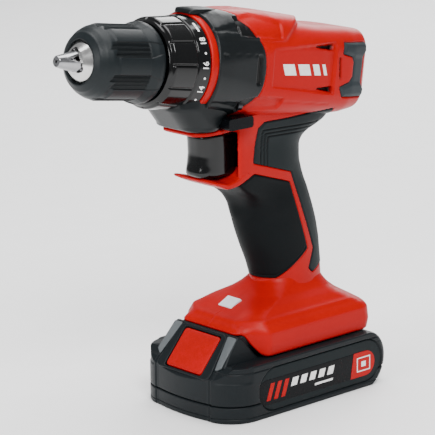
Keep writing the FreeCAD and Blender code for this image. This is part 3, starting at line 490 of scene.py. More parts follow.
@dataclass(frozen=True)
class Finish:
    """A finish: its colour, gloss and worked surface."""

    name: str
    slot: str
    colour: tuple[float, float, float]
    roughness: float
    grain: Grain = Grain.SPARK
    scale: float = 2600.0
    depth: float = 0.00002
    metallic: float = 0.0
    coat: float = 0.0
    sheen: float = 0.0
    uneven: float = 0.10
    # dark colour painted as shade into grooves, slits, slots, pits and the trigger's pocket
    ink: tuple[float, float, float] = (0.002, 0.002, 0.002)
    gloss: float = 0.35

    def relief(self, shader: Shader) -> Value:
        """Height of the worked surface."""
        if self.grain is Grain.TURNED:
            return shader.noise(self.scale, 3.0, (1.0, 0.12, 0.12))
        if self.grain is Grain.WOUND:
            settings = {"wave_type": "BANDS", "bands_direction": "Z"}
            inputs = {"Vector": shader.place, "Scale": self.scale}
            return shader.value("ShaderNodeTexWave", settings, inputs, "Fac")
        if self.grain in (Grain.SPARK, Grain.SOFT):
            return shader.cells(self.scale) * 0.7 + shader.noise(self.scale * 0.6, 3.0) * 0.5
        return shader.noise(self.scale, 1.0)

    def material(self, marks: set[str] = frozenset()) -> bpy.types.Material:
        """The material of this finish, made once for each set of painted masks.

        Args:
            marks: masks on the mesh; the painted-shade mask blends in the dark shade colour, painted shade in
                grooves, slits, slots and pits.

        Returns:
            The node material.
        """
        name = "_".join([self.name, "finish", *sorted(marks)])
        if name in bpy.data.materials:
            return bpy.data.materials[name]
        shader = Shader(name)
        broad, fine = shader.noise(38.0, 3.0), shader.noise(420.0, 2.0)
        share = broad * 0.6 + fine * 0.4
        darker = tuple(c * (1.0 - self.uneven) for c in self.colour)
        lighter = tuple(min(c * (1.0 + self.uneven), 1.0) for c in self.colour)
        colour = shader.blend(share.step(0.3, 0.7), darker, lighter)
        rough = self.roughness + (fine - 0.5) * 0.10 + (broad - 0.5) * 0.06
        if "ink" in marks:
            # painted shade: the mask darkens grooves, slits, slots, pits and the trigger's pocket towards the
            # shade colour
            colour = shader.blend(shader.mark("ink"), colour, self.ink)
        height = self.relief(shader)
        constants = {"Metallic": self.metallic, "Coat Weight": self.coat, "Sheen Weight": self.sheen,
                     "Coat Roughness": 0.08, "Sheen Roughness": 0.45, "Specular IOR Level": self.gloss}
        shader.finish({"Base Color": colour, "Roughness": rough, "Normal": shader.bump(height, self.depth)})
        shader.finish(constants)
        return shader.material


RED = Finish("red_moulding", "red_housing", (0.36, 0.0002, 0.0005),
             0.38, depth=0.000012, uneven=0.05, gloss=0.12)
RED_RING = Finish("red_ring", "red_trim", (0.36, 0.0003, 0.0008), 0.30, scale=3200.0, uneven=0.05, gloss=0.14)
CASE = Finish("gear_case_nylon", "dark_case", (0.0045, 0.006, 0.0068),
              0.34, scale=3000.0, depth=0.00003, gloss=0.22)
SLEEVE = Finish("sleeve_nylon", "charcoal", (0.006, 0.0088, 0.0102),
                0.42, scale=3000.0, depth=0.00003, gloss=0.20)
BATTERY = Finish("battery_nylon", "charcoal", (0.0055, 0.0078, 0.0092),
                 0.44, scale=2400.0, depth=0.00004, gloss=0.16)
CHEEK = Finish("battery_cheek", "charcoal", (0.085, 0.095, 0.10), 0.46, scale=2400.0, depth=0.00004)
GLOSS = Finish("polished_black", "black_gloss", (0.0016, 0.0018, 0.002), 0.12, Grain.POLISHED, 60.0, 0.00001,
               coat=0.12, gloss=0.3)
GRIP = Finish("soft_grip", "soft_grip", (0.003, 0.0042, 0.0048),
              0.50, Grain.SOFT, 1900.0, 0.00005, gloss=0.07)
BACK_GRIP = Finish("soft_back", "soft_grip", (0.0075, 0.011, 0.0122),
                   0.54, Grain.SOFT, 1900.0, 0.00005, gloss=0.12)
BUMPER = Finish("bumper_rubber", "soft_grip", (0.020, 0.026, 0.030),
                0.52, Grain.SOFT, 1900.0, 0.00005, gloss=0.15)
STEEL = Finish("turned_steel", "chuck_steel", (0.62, 0.61, 0.60), 0.20, Grain.TURNED, 900.0, 0.00001, 1.0)
JAW = Finish("ground_jaw_steel", "chuck_steel", (0.34, 0.34, 0.35), 0.24, Grain.TURNED, 900.0, 0.00001, 1.0)
GEAR = Finish("gear_steel", "gear_steel", (0.35, 0.35, 0.36), 0.34, Grain.TURNED, 700.0, 0.00001, 1.0)
SPRING = Finish("spring_steel", "spring_steel", (0.42, 0.42, 0.44), 0.28, Grain.TURNED, 700.0, 0.00001, 1.0)
MOTOR = Finish("plated_motor_can", "motor_steel", (0.46, 0.45, 0.42), 0.32, Grain.TURNED, 500.0, 0.00001, 1.0)
BLACK = Finish("black_nylon", "black_plastic", (0.010, 0.011, 0.012), 0.42)
LEAD = Finish("lead_sleeve", "lead_insulation", (0.02, 0.02, 0.022), 0.45, Grain.POLISHED, 200.0)
LENS = Finish("clear_lens", "clear_lens", (0.72, 0.75, 0.78), 0.12, Grain.POLISHED, 90.0, 0.00001, coat=0.5)
SCREW = Finish("blackened_screw", "screw_steel", (0.05, 0.05, 0.055), 0.30, Grain.TURNED, 900.0, 0.00001, 0.9)
CELL = Finish("cell_sleeve", "cell_wrap", (0.03, 0.16, 0.30), 0.28, Grain.CARD, 300.0)
BOARD = Finish("circuit_board", "circuit_board", (0.01, 0.10, 0.04), 0.40, Grain.CARD, 900.0)
PRINT = Finish("white_print", "black_gloss", (0.82, 0.82, 0.80), 0.42, Grain.CARD, 900.0, 0.000005)
RED_PRINT = Finish("red_print", "red_trim", (0.38, 0.0003, 0.0008),
                   0.36, Grain.CARD, 900.0, 0.000005, gloss=0.12)
LABEL = Finish("label_film", "black_gloss", (0.0018, 0.0022, 0.003),
               0.28, Grain.CARD, 900.0, 0.000005, gloss=0.10)
FLOOR = Finish("pale_floor", "black_plastic", (0.93, 0.93, 0.93), 0.8, Grain.CARD, 60.0, 0.00001, uneven=0.01)
BUTTON = Finish("button_moulding", "red_trim", (0.36, 0.0003, 0.0006),
                0.44, Grain.SPARK, 1300.0, 0.00012, gloss=0.14)
COPPER = Finish("copper_winding", "motor_steel", (0.52, 0.22, 0.08), 0.35, Grain.WOUND, 900.0, 0.00005, 0.9)

NODE_FINISH = {
    "input_ring_gear": GEAR, "clutch_ring_gear": GEAR, "shift_ring_gear": GEAR, "shift_fork": SPRING,
    "clutch_balls": SPRING, "front_bearing": SPRING, "motor_plate": MOTOR, "motor_can": MOTOR,
    "motor_end_bell": BLACK, "motor_bearings": MOTOR, "switch_module": BLACK, "terminal_block": BLACK,
    "motor_leads": LEAD, "battery_leads": LEAD, "housing_screws": SCREW, "gear_case_screws": SCREW,
    "output_carrier": GEAR, "spindle": GEAR, "chuck_body": STEEL, "jaw_nut": GEAR, "clutch_nut": BLACK,
    "clutch_spring": SPRING, "trigger_spring": SPRING, "first_carrier": GEAR, "second_carrier": GEAR,
    "motor_shaft": GEAR, "rotor_core": COPPER, "cooling_fan": BLACK, "battery_cells": CELL,
    "battery_board": BOARD, "led_lens": LENS, "speed_selector": BLACK, "direction_bar": LABEL,
    "jaw_1": JAW, "jaw_2": JAW, "jaw_3": JAW,
}


# ---- chuck and collar -------------------------------------------------------------------
@dataclass
class Chuck:
    """Keyless chuck: ribbed sleeve with smooth raised panels between the rib groups."""

    rear: float = 88.4
    mouth: float = 130.0
    hub: float = 12.4
    bore: float = 11.6
    groups: int = 7
    ribs: int = 6
    panel_centre: float = 89.4
    panel_half: float = 13.0
    panel_flare: float = 4.8
    rib_rear: float = 97.0
    rib_front: float = 121.5

    def relief(self, s: Array, angle: Array, run: Array) -> Array:
        """Relief of the sleeve."""
        return self.fields(s, angle, run)[0]

    def fields(self, s: Array, angle: Array, run: Array) -> tuple[Array, Array]:
        """Relief and painted-shade mask: panels 0.4 proud that widen to the flared rim, with ribs between;
        the mask paints shade in the rib grooves and along the step beside each panel's edge.
        """
        pitch = 360.0 / self.groups
        turn = (angle - self.panel_centre + pitch / 2) % pitch - pitch / 2
        half = self.panel_half + self.panel_flare * (1.0 - smooth(90.5, self.rib_rear + 0.8, s))
        edge = (half - np.abs(turn)) * math.radians(19.9)
        front = run < self.outer_run
        ends = smooth(89.6, 90.6, s) * (1.0 - smooth(118.2, 119.4, s)) * front
        panel = 0.42 * smooth(-0.22, 0.22, edge) * ends
        free = pitch - 2 * self.panel_half
        share = (np.abs(turn) - self.panel_half) / free * self.ribs * 2
        wave = 0.5 - 0.5 * np.cos(2 * math.pi * np.where(turn > 0, share, share))
        slant = 1.6 * smooth(0.0, free / 2, np.abs(turn) - self.panel_half) * np.sign(turn)
        reach = smooth(0.0, 0.8, s - self.rib_rear) * (1.0 - smooth(-0.8, 0.0, s - self.rib_front - slant))
        ribs = smooth(0.15, 0.85, wave) * reach * smooth(0.1, 0.4, -edge) * front
        step = (1.0 - smooth(0.12, 0.34, np.abs(edge + 0.24))) * ends
        # the second value is painted shade in the rib grooves and along the panel edges
        return panel - 0.75 * ribs, np.maximum(0.55 * ribs, 0.5 * step)

    def profile(self) -> Array:
        """Half section of the sleeve: flared rim, straight grip, rounded nose and inner wall."""
        outer = rounded(((self.rear, self.hub), (self.rear, 20.4), (89.3, 21.3), (92.4, 21.3), (95.6, 20.2),
                         (97.5, 19.7), (118.0, 19.7), (122.0, 19.1), (125.2, 17.6), (127.4, 15.8),
                         (128.2, 15.4), (self.mouth, 12.3), (self.mouth, self.bore)), 1.2, closed=False)
        outer = resampled(outer, 0.5)
        self.outer_run = float(np.linalg.norm(np.diff(outer, axis=0), axis=1).sum()) - 0.8
        inner = np.array([(126.0, self.bore), (124.0, 18.0), (92.5, 18.0), (92.0, self.hub),
                          (self.rear, self.hub)])
        return np.concatenate([outer, inner])

    def build(self) -> None:
        """Makes the sleeve."""
        line, sides = self.profile(), 560
        grid = HEAD.turned(line, sides, self.relief)
        run = np.concatenate([[0.0], np.cumsum(np.linalg.norm(np.diff(line, axis=0), axis=1))])[:, None]
        # painted shade of the rib grooves and panel edges, carried as a mask on the sleeve
        ink = self.fields(line[:, :1], np.arange(sides)[None, :] * (360.0 / sides), run)[1]
        skin = Skin(grid, marks={"ink": ink})
        make_piece("chuck_sleeve_moulding", [skin], SLEEVE, "sleeve", ["chuck_sleeve"])


@dataclass
class Collar:
    """Torque collar with its printed scale, and the index ring behind it."""

    rear: float = 62.2
    band_front: float = 69.4
    front: float = 87.2
    inner: float = 16.0
    lands: int = 12
    land_edge: float = 86.0
    scale_s: float = 65.4
    scale_r: float = 26.05
    digit: float = 4.7

    def relief(self, s: Array, angle: Array, run: Array) -> Array:
        """Twelve wide lands, parted by narrow grooves, in front of the number band."""
        pitch = 360.0 / self.lands
        turn = np.abs((angle - self.land_edge + pitch / 2) % pitch - pitch / 2) * math.radians(24.5)
        along = smooth(self.band_front + 0.3, self.band_front + 1.1, s) * (1.0 - smooth(84.4, 86.2, s))
        outer = run < self.outer_run
        return 1.0 * smooth(0.45, 0.85, turn) * along * outer

    def profile(self) -> Array:
        """Half section: number band, grip, front chamfer and inner wall."""
        outer = rounded(((self.rear, self.inner + 4.6), (self.rear, 26.4), (self.band_front, 25.3),
                         (self.band_front + 0.6, 24.1), (84.4, 23.3), (86.3, 22.6), (self.front, 21.5),
                         (self.front, self.inner)), 0.5, closed=False)
        outer = resampled(outer, 0.42)
        self.outer_run = float(np.linalg.norm(np.diff(outer, axis=0), axis=1).sum()) - 4.0
        inner = np.array([(84.8, self.inner), (84.8, self.inner + 4.6), (self.rear, self.inner + 4.6)])
        return np.concatenate([outer, inner])

    def on_band(self, flat: Array, angle: float, s: float) -> Array:
        """Wraps flat (x, y) print round the band: x runs against the angle and y along s."""
        turn = np.radians(angle) - flat[:, 0] / self.scale_r
        station = s + flat[:, 1]
        slope = (25.3 - 26.4) / (self.band_front - self.rear)
        radius = 26.4 + slope * (station - self.rear) + 0.05
        return HEAD.place(station, radius * np.sin(turn), radius * np.cos(turn))

    def scale(self) -> None:
        """Prints even numbers, a dot at each half step, and a drilling mark."""
        prints: list[tuple[Array, list]] = []
        for step in range(1, 10):
            angle = self.land_edge + 29.3 * (8 - step)
            flat, faces = text_outline(str(2 * step), self.digit)
            prints.append((self.on_band(flat, angle, self.scale_s), faces))
            flat, faces = flat_outline(rounded(((-0.6, -0.6), (0.6, -0.6), (0.6, 0.6), (-0.6, 0.6)), 0.6))
            prints.append((self.on_band(flat, angle - 14.6, self.scale_s), faces))
        bar = ((-2.9, -0.6), (2.5, -0.6), (2.9, 0.6), (-2.5, 0.6))
        flat, faces = flat_outline(np.array(bar))
        prints.append((self.on_band(flat, self.land_edge + 29.3 * -1.75, self.scale_s), faces))
        print_piece("collar_scale", prints, PRINT, "torque_collar")

    def build(self) -> None:
        """Makes the collar, its scale and the index ring."""
        grid = HEAD.turned(self.profile(), 480, self.relief)
        make_piece("torque_collar_moulding", [Skin(grid)], GLOSS, "torque_collar", ["torque_collar"])
        self.scale()
        line = rounded(((57.0, 21.8), (57.0, 27.1), (58.0, 27.3), (61.0, 27.3),
                        (61.8, 26.8), (61.8, 21.8)), 0.5)
        line = resampled(line, 0.4, closed=True)
        grid = HEAD.turned(np.concatenate([line, line[:1]]), 240)
        make_piece("index_ring_moulding", [Skin(grid)], RED_RING, "housing", ["index_ring"])


def text_outline(body: str, size: float) -> tuple[Array, list]:
    """Flat mesh of a piece of text, centred on the origin, in millimetres."""
    curve = bpy.data.curves.new("figures", "FONT")
    curve.body, curve.size = body, size
    curve.align_x, curve.align_y = "CENTER", "CENTER"
    curve.resolution_u, curve.offset = 3, size * 0.02
    holder = bpy.data.objects.new("figures", curve)
    mesh = bpy.data.meshes.new_from_object(holder)
    flat = np.zeros(len(mesh.vertices) * 3)
    mesh.vertices.foreach_get("co", flat)
    faces = [list(face.vertices) for face in mesh.polygons]
    bpy.data.objects.remove(holder)
    bpy.data.curves.remove(curve)
    bpy.data.meshes.remove(mesh)
    return flat.reshape(-1, 3)[:, :2], faces


def flat_outline(outline: Array) -> tuple[Array, list]:
    """A flat outline as one face."""
    return outline, [list(range(len(outline)))]


def print_piece(name: str, prints: Sequence[tuple[Array, list]], finish: Finish,
                body: str) -> bpy.types.Object:
    """Joins pieces of print into one thin piece, a tenth of a millimetre thick."""
    faces, start = [], 0
    for points, own in prints:
        faces.extend([[number + start for number in face] for face in own])
        start += len(points)
    mesh = bpy.data.meshes.new(name)
    mesh.from_pydata(np.concatenate([points for points, _ in prints]) * MM, [], faces)
    piece = settle(name, mesh, finish, body)
    piece.data.polygons.foreach_set("use_smooth", np.zeros(len(piece.data.polygons), bool))
    thick = piece.modifiers.new("thickness", "SOLIDIFY")
    thick.thickness, thick.offset = 0.10 * MM, 1.0
    return piece


# ---- barrel -----------------------------------------------------------------------------
@dataclass
class Barrel:
    """Barrel of the head: one smooth form that the housing, gear case and bumpers share."""

    table: tuple[tuple[float, ...], ...] = (  # station, half width, top, bottom, corner radius
        (-68.0, 11.0, 14.0, -13.0, 6.0), (-65.2, 15.2, 18.2, -16.6, 7.5), (-58.0, 21.4, 22.9, -22.0, 9.5),
        (-45.0, 25.2, 23.7, -24.4, 12.5), (-21.0, 27.2, 24.0, -25.4, 13.5), (0.0, 28.0, 25.6, -26.6, 15.0),
        (18.0, 28.4, 26.4, -27.5, 17.0), (30.0, 28.5, 27.0, -28.0, 21.0), (48.0, 28.5, 28.2, -28.2, 25.0),
        (57.0, 28.1, 28.1, -28.1, 26.0))
    blur: float = 1.6
    case_s: float = 54.0
    case_r: float = 30.0
    lip: float = 0.30
    sink: float = 1.5
    panel: Points = ((18.7, 11.2), (-31.0, 15.8), (-31.0, -12.6), (18.3, -8.8))
    slits: tuple[Points, ...] = (((-13.0, 13.4), (-29.0, 15.4), (-28.4, 11.6)),
                                 ((-16.5, -9.8), (-30.6, -11.9), (-30.3, -8.6)),
                                 ((-33.4, 7.6), (-34.9, 7.6), (-36.4, -4.2), (-35.0, -4.2)))
    pits: tuple[Points, ...] = (((42.4, 24.8), (42.0, 17.6), (13.0, 16.8), (13.0, 22.6), (29.0, 25.6)),
                                ((38.4, -17.0), (38.0, -22.6), (10.6, -20.6), (7.6, -15.2), (28.0, -14.6)))
    strap_area: Points = ((-4.0, 160.0), (-20.0, 160.4), (-33.5, 161.0), (-35.5, 157.6),
                          (-33.0, 150.0), (-4.0, 150.0))
    bumper: Points = ((-37.0, 16.2), (-58.6, 16.2), (-60.4, 10.6), (-56.8, 8.0), (-56.4, -6.8), (-60.6, -9.6),
                      (-58.8, -14.6), (-38.5, -14.6), (-35.5, -8.9), (-43.6, -6.2), (-46.5, -3.0),
                      (-46.5, 5.0), (-44.5, 7.8), (-36.4, 9.4))

    def shape(self, stations: Array, flat: int = 26, bend: int = 30) -> Array:
        """Grid of the plain form in the head frame, rows along s and columns round it."""
        w, top, bottom, corner = soft_table(np.array(self.table), stations, self.blur).T
        yh = ring(w, top, bottom, corner, flat, bend)
        s = np.broadcast_to(stations[:, None, None], yh.shape[:2] + (1,))
        return np.concatenate([s, yh], -1)

    def hump(self, grid: Array) -> Array:
        """Raised pad on top: it ends rearwards in a chevron step and sideways above h 16."""
        s, y, h = grid[..., 0], np.abs(grid[..., 1]), grid[..., 2]
        fall = y + np.maximum(26.0 - h, 0.0)
        step = smooth(0.0, 4.5, s - (-23.0 + 0.85 * fall)) * smooth(15.5, 16.3, h)
        height = np.interp(s, (-30.0, -15.5, 0.0, 18.0, 30.0, 48.0, 57.0),
                           (3.6, 3.5, 3.9, 4.2, 3.6, 1.6, 0.1))
        return step * (0.7 + (height - 0.7) * smooth(15.0, 25.0, h)) * smooth(0.0, 1.0, height)

    def case_distance(self, grid: Array) -> Array:
        """Distance from the round edge of the gear case in side view, negative on the case."""
        return np.hypot(grid[..., 0] - self.case_s, grid[..., 2]) - self.case_r

    def side(self, outline: Points, grid: Array, radius: float = 0.8) -> Array:
        """Distance from a side-view outline, made large off the flanks."""
        distance = outline_distance(rounded(outline, radius), grid[..., 0], grid[..., 2])
        return np.where(np.abs(grid[..., 1]) > 8.0, distance, 50.0)

    def housing_relief(self, grid: Array) -> tuple[Array, Array]:
        """Relief and painted-shade mask of the red shell: hump, panel, slits, pits and beds; the mask paints
        shade into the vent slits and the rear slots.
        """
        s, y, h = grid[..., 0], np.abs(grid[..., 1]), grid[..., 2]
        relief = self.hump(grid)
        depth = 0.25 + 1.3 * np.clip((18.0 - s) / 46.0, 0.0, 1.0)
        relief = relief - depth * (1.0 - smooth(-0.35, 0.35, self.side(self.panel, grid)))
        ink = np.zeros(s.shape)
        # painted shade: the vent slits are sunk and darkened inside
        for outline in self.slits:
            mask = 1.0 - smooth(-0.35, 0.35, self.side(outline, grid, 0.3))
            relief, ink = relief - 2.2 * mask, np.maximum(ink, mask)
        for outline in self.pits:
            relief = relief + inset_area(self.side(outline, grid), 1.3, 0.4)
        line = outline_distance(np.array([(12.5, -16.6), (-29.0, -18.4), (12.5, -16.7)]), s, h)
        relief = relief + groove(np.abs(np.where(y > 8.0, line, 50.0)), 0.5, 0.45)
        relief = relief - self.sink * (1.0 - smooth(-self.lip, self.lip, self.side(self.bumper, grid)))
        relief = relief - self.sink * (1.0 - smooth(-self.lip, self.lip, self.case_distance(grid)))
        placed = HEAD.place(s, grid[..., 1], h)
        strap = outline_distance(rounded(self.strap_area, 1.2), placed[..., 0], placed[..., 2])
        relief = relief - self.sink * (1.0 - smooth(-self.lip, self.lip, strap))
        # painted shade: the rear slots are sunk and darkened inside
        rows = np.abs((h + 11.2) % 4.8 - 2.4)
        slots = (1.0 - smooth(0.7, 1.1, rows)) * (1.0 - smooth(8.4, 9.0, y)) * (1.0 - smooth(-65.0, -63.5, s))
        slots = slots * (1.0 - smooth(10.6, 11.4, np.abs(h)))
        relief, ink = relief - 1.6 * slots, np.maximum(ink, slots)
        seam = np.abs(grid[..., 1]) < 0.02
        return relief - 0.3 * seam, ink

    def housing(self) -> list[tuple[int, Skin]]:
        """Left and right shells of the red barrel, closed at the rear."""
        stations = np.concatenate([np.linspace(-68.0, -60.0, 26, endpoint=False),
                                   np.linspace(-60.0, 57.0, 250)])
        grid = self.shape(stations)
        relief, ink = self.housing_relief(grid)
        normal = outward(grid, True)
        lifted = grid + normal * relief[..., None]
        close = lifted[:1] * np.array([1.0, 0.93, 0.93]) + np.array([-0.7, 0.0, 0.0])
        hub = lifted[:1] * np.array([1.0, 0.0, 0.0]) + np.array([-0.9, 0.0, 0.0])
        inner = lifted[:1] * np.array([1.0, 0.4, 0.4]) - np.array([0.9, 0.0, 0.0])
        lifted = np.concatenate([hub, inner, close, lifted])
        keep = np.concatenate([np.ones((3, grid.shape[1]), bool), self.case_distance(grid) > -1.6])
        ink = np.concatenate([np.zeros((3, grid.shape[1])), ink])
        half = grid.shape[1] // 2
        shells = []
        for side, columns in ((1, np.arange(half + 1)), (-1, np.r_[np.arange(half, grid.shape[1]), 0])):
            part = lifted[:, columns]
            placed = HEAD.place(part[..., 0], part[..., 1], part[..., 2])
            shells.append((side, Skin(placed, False, keep[:, columns], {"ink": ink[:, columns]})))
        return shells

    def case_relief(self, grid: Array) -> tuple[Array, Array]:
        """Relief and painted-shade mask of the gear case: screw pits, drivers' channels, side slot; the mask
        paints shade into the screw pits and the side slot.
        """
        s, h = grid[..., 0], grid[..., 2]
        relief = self.hump(grid) + 0.12
        ink = np.zeros(s.shape)
        # painted shade: the screw pits are sunk and darkened to 0.6 of the shade colour
        for outline in self.pits:
            mask = 1.0 - smooth(-0.3, 0.3, self.side(outline, grid))
            relief, ink = relief - 2.0 * mask, np.maximum(ink, mask * 0.6)
        for outline in (((60.0, 19.9), (40.0, 22.6), (40.0, 18.6)),
                        ((60.0, -18.2), (36.0, -21.8), (36.0, -17.6))):
            relief = relief + inset_area(self.side(outline, grid, 0.3), 0.9, 0.3)
        # painted shade: the side slot is sunk and darkened inside
        window = ((27.4, 8.0), (30.6, 8.0), (30.6, -7.4), (26.4, -7.4))
        slot = 1.0 - smooth(-0.25, 0.25, self.side(window, grid, 0.5))
        relief, ink = relief - 1.3 * slot, np.maximum(ink, slot)
        line = np.where((s > 31.0) & (s < 55.0), np.abs(h - 8.1), 50.0)
        relief = relief + groove(line, 0.4, 0.35)
        latch = self.side(((55.2, 8.6), (50.4, 7.2), (55.0, 6.4)), grid, 0.2)
        relief = relief + inset_area(latch, 0.8, 0.2)
        distance = self.case_distance(grid)
        relief = relief - (self.sink + relief) * smooth(-self.lip, self.lip, distance)
        return relief, ink

    def case(self) -> Skin:
        """Shell of the gear case from its round edge to the index ring, with its front wall."""
        grid = self.shape(np.linspace(22.0, 57.0, 92), 30, 44)
        relief, ink = self.case_relief(grid)
        lifted = grid + outward(grid, True) * relief[..., None]
        rim = lifted[-1:] * np.array([1.0, 0.985, 0.985]) + np.array([0.35, 0.0, 0.0])
        wall = lifted[-1:] * np.array([1.0, 0.79, 0.79]) + np.array([0.35, 0.0, 0.0])
        lifted = np.concatenate([lifted, rim, wall])
        keep = np.concatenate([self.case_distance(grid) < 1.4, np.ones((2, grid.shape[1]), bool)])
        ink = np.concatenate([ink, np.zeros((2, grid.shape[1]))])
        return Skin(HEAD.place(lifted[..., 0], lifted[..., 1], lifted[..., 2]), True, keep, {"ink": ink})

    def bumpers(self) -> list[Skin]:
        """I-shaped bumpers on both rear corners, crowned in their lobes."""
        grid = self.shape(np.linspace(-64.0, -33.0, 120), 26, 40)
        distance = self.side(self.bumper, grid, 1.0)
        lobe = smooth(6.0, 9.0, np.abs(grid[..., 2] - 0.6))
        crown = (0.25 + 0.75 * lobe) * smooth(0.0, 2.4, -distance)
        relief = crown - (self.sink + 0.4) * smooth(-0.5, 0.4, distance)
        lifted = grid + outward(grid, True) * relief[..., None]
        placed = HEAD.place(lifted[..., 0], lifted[..., 1], lifted[..., 2])
        return [Skin(placed, True, distance < 0.9)]

    def under_strap(self) -> Skin:
        """Soft strap carried rearwards under the barrel, as far as its side-view outline."""
        grid = self.shape(np.linspace(-52.0, -4.0, 150), 30, 34)
        placed = HEAD.place(grid[..., 0], grid[..., 1], grid[..., 2])
        outline = rounded(self.strap_area, 1.2)
        distance = outline_distance(outline, placed[..., 0], placed[..., 2])
        relief = 0.35 - (self.sink + 0.35) * smooth(-0.6, 0.4, distance)
        placed = placed + outward(placed, True) * relief[..., None]
        return Skin(placed, True, distance < 0.8, {"ink": np.zeros(distance.shape)})

    def tongue(self) -> Skin:
        """Tongue of the gear case that reaches over the collar."""
        s = np.array([46.0, 46.2, 50.0, 57.0, 61.2, 62.2, 62.5])
        w = np.array([7.4, 8.0, 8.0, 7.8, 7.0, 6.2, 5.2])
        top = np.array([2.4, 3.0, 2.9, 2.6, 2.2, 1.6, 0.9])
        yh = ring(w, top, -0.55 * np.ones(7), np.full(7, 1.0), 8, 6)
        placed = HEAD.place(s[:, None], yh[..., 0], yh[..., 1] + 27.5 - 0.006 * (yh[..., 0] ** 2))
        return Skin(placed, capped=(True, True))


# ---- handle, trigger and foot -----------------------------------------------------------
@dataclass
class Handle:
    """Pistol grip: one form shared by the red shell, the side panels and the back strap."""

    table: tuple[tuple[float, ...], ...] = (  # height, rear x, front x, half width, squareness in front
        (56.0, -39.4, 9.0, 16.8, 0.0), (66.0, -38.6, 5.6, 16.6, 0.0), (76.0, -37.6, 9.0, 16.8, 0.0),
        (86.0, -36.6, 13.6, 17.2, 0.0), (96.0, -34.6, 17.6, 17.4, 0.0), (104.0, -32.2, 20.2, 17.3, 0.0),
        (111.0, -29.6, 20.0, 17.1, 0.05), (117.0, -27.4, 22.4, 16.9, 0.15), (122.0, -25.2, 28.0, 16.9, 0.5),
        (127.0, -23.6, 33.4, 17.1, 0.9), (133.0, -21.7, 34.0, 17.4, 1.0), (143.0, -21.4, 34.0, 17.6, 1.0),
        (147.0, -24.0, 34.0, 17.8, 1.0), (150.0, -29.0, 34.0, 18.2, 1.0), (152.5, -38.0, 34.0, 18.8, 1.0),
        (155.0, -44.0, 34.0, 19.4, 1.0), (166.0, -44.0, 34.0, 20.4, 1.0))
    side_panel: Points = ((34.0, 126.0), (22.5, 131.6), (-4.8, 123.0), (-18.6, 82.4), (0.6, 67.2),
                          (24.0, 66.6), (40.0, 98.0), (40.0, 124.0))
    strap: Points = ((21.6, 157.0), (23.2, 137.6), (-6.0, 128.4), (-23.6, 81.6), (-19.4, 70.6), (-22.6, 67.6),
                     (-27.0, 69.2), (-31.0, 70.6), (-60.0, 70.6), (-60.0, 160.8), (-36.0, 160.8),
                      (0.0, 159.9), (17.0, 160.0))
    lip: float = 0.35
    sink: float = 1.2

    def shape(self, heights: Array, columns: int) -> Array:
        """Grid of the plain form, rows upwards and columns round it from the rear.

        The plan is a half ellipse behind the widest point and, in front of it, a superellipse
        whose power rises from 2 to 22 where the trigger's frame is square.
        """
        table = np.array(self.table)
        rear, front, width, square = soft_table(table, heights, 1.6).T
        turn = np.linspace(0.0, 2 * math.pi, columns, endpoint=False)[None, :]
        middle = (rear * 0.52 + front * 0.48)[:, None]
        cos, sin = -np.cos(turn), np.sin(turn)
        power = np.where(cos > 0, 2.0 + 20.0 * square[:, None], 2.25)
        reach = (np.abs(cos) ** power + np.abs(sin) ** power) ** (-1.0 / power)
        depth = np.where(cos > 0, front[:, None] - middle, middle - rear[:, None])
        x = middle + depth * cos * reach
        y = width[:, None] * sin * reach
        return np.stack([x, y, np.broadcast_to(heights[:, None], x.shape)], -1)

    def area(self, outline: Points, grid: Array, radius: float) -> Array:
        """Distance from a side-view outline on the handle."""
        return outline_distance(rounded(outline, radius), grid[..., 0], grid[..., 2])

    def shell(self, side: int) -> Skin:
        """One half of the red handle, sunk below the soft mouldings, with the trigger's pocket, which carries
        painted shade.
        """
        grid = self.shape(np.linspace(57.0, 165.0, 240), 420)
        sunk = np.minimum(self.area(self.side_panel, grid, 2.0), self.area(self.strap, grid, 1.2))
        relief = -self.sink * (1.0 - smooth(-self.lip, self.lip, sunk)) - 0.25 * (np.abs(grid[..., 1]) < 0.02)
        lifted = grid + outward(grid, True) * relief[..., None]
        y, z = np.abs(grid[..., 1]), grid[..., 2]
        # the pocket is pushed in behind the trigger and its mask paints shade inside it
        pocket = (1.0 - smooth(15.4, 16.0, y)) * smooth(131.6, 132.6, z) * (1.0 - smooth(155.4, 156.4, z))
        pocket = pocket * (grid[..., 0] > 20.0)
        lifted[..., 0] -= 8.5 * pocket
        half = grid.shape[1] // 2
        columns = np.arange(half + 1) if side > 0 else np.r_[np.arange(half, 2 * half), 0]
        return Skin(lifted[:, columns], False, sunk[:, columns] > -1.4, {"ink": pocket[:, columns]})

    def panel(self, side: int) -> Skin:
        """Soft side panel, with a shallow scoop for the fingers and a soft edge."""
        grid = self.shape(np.linspace(64.0, 134.0, 210), 400)
        distance = self.area(self.side_panel, grid, 2.0)
        scoop = np.hypot((grid[..., 0] - 14.0) / 22.0, (grid[..., 2] - 117.0) / 16.0)
        relief = 0.35 - (self.sink + 0.35) * smooth(-0.7, 0.45, distance)
        relief = relief - 0.9 * (1.0 - smooth(0.0, 1.0, scoop)) * smooth(0.0, 3.0, -distance)
        rim = self.area(((40.0, 125.0), (22.0, 129.6), (-3.4, 121.4), (-16.6, 83.0), (1.4, 69.2),
                         (40.0, 68.8)), grid, 3.0)
        relief = relief + groove(np.where(grid[..., 2] < 84.0, rim, 9.0), 0.5, 0.3)
        lifted = grid + outward(grid, True) * relief[..., None]
        half = grid.shape[1] // 2
        columns = np.arange(half + 1) if side > 0 else np.r_[np.arange(half, 2 * half), 0]
        return Skin(lifted[:, columns], False, distance[:, columns] < 0.9)

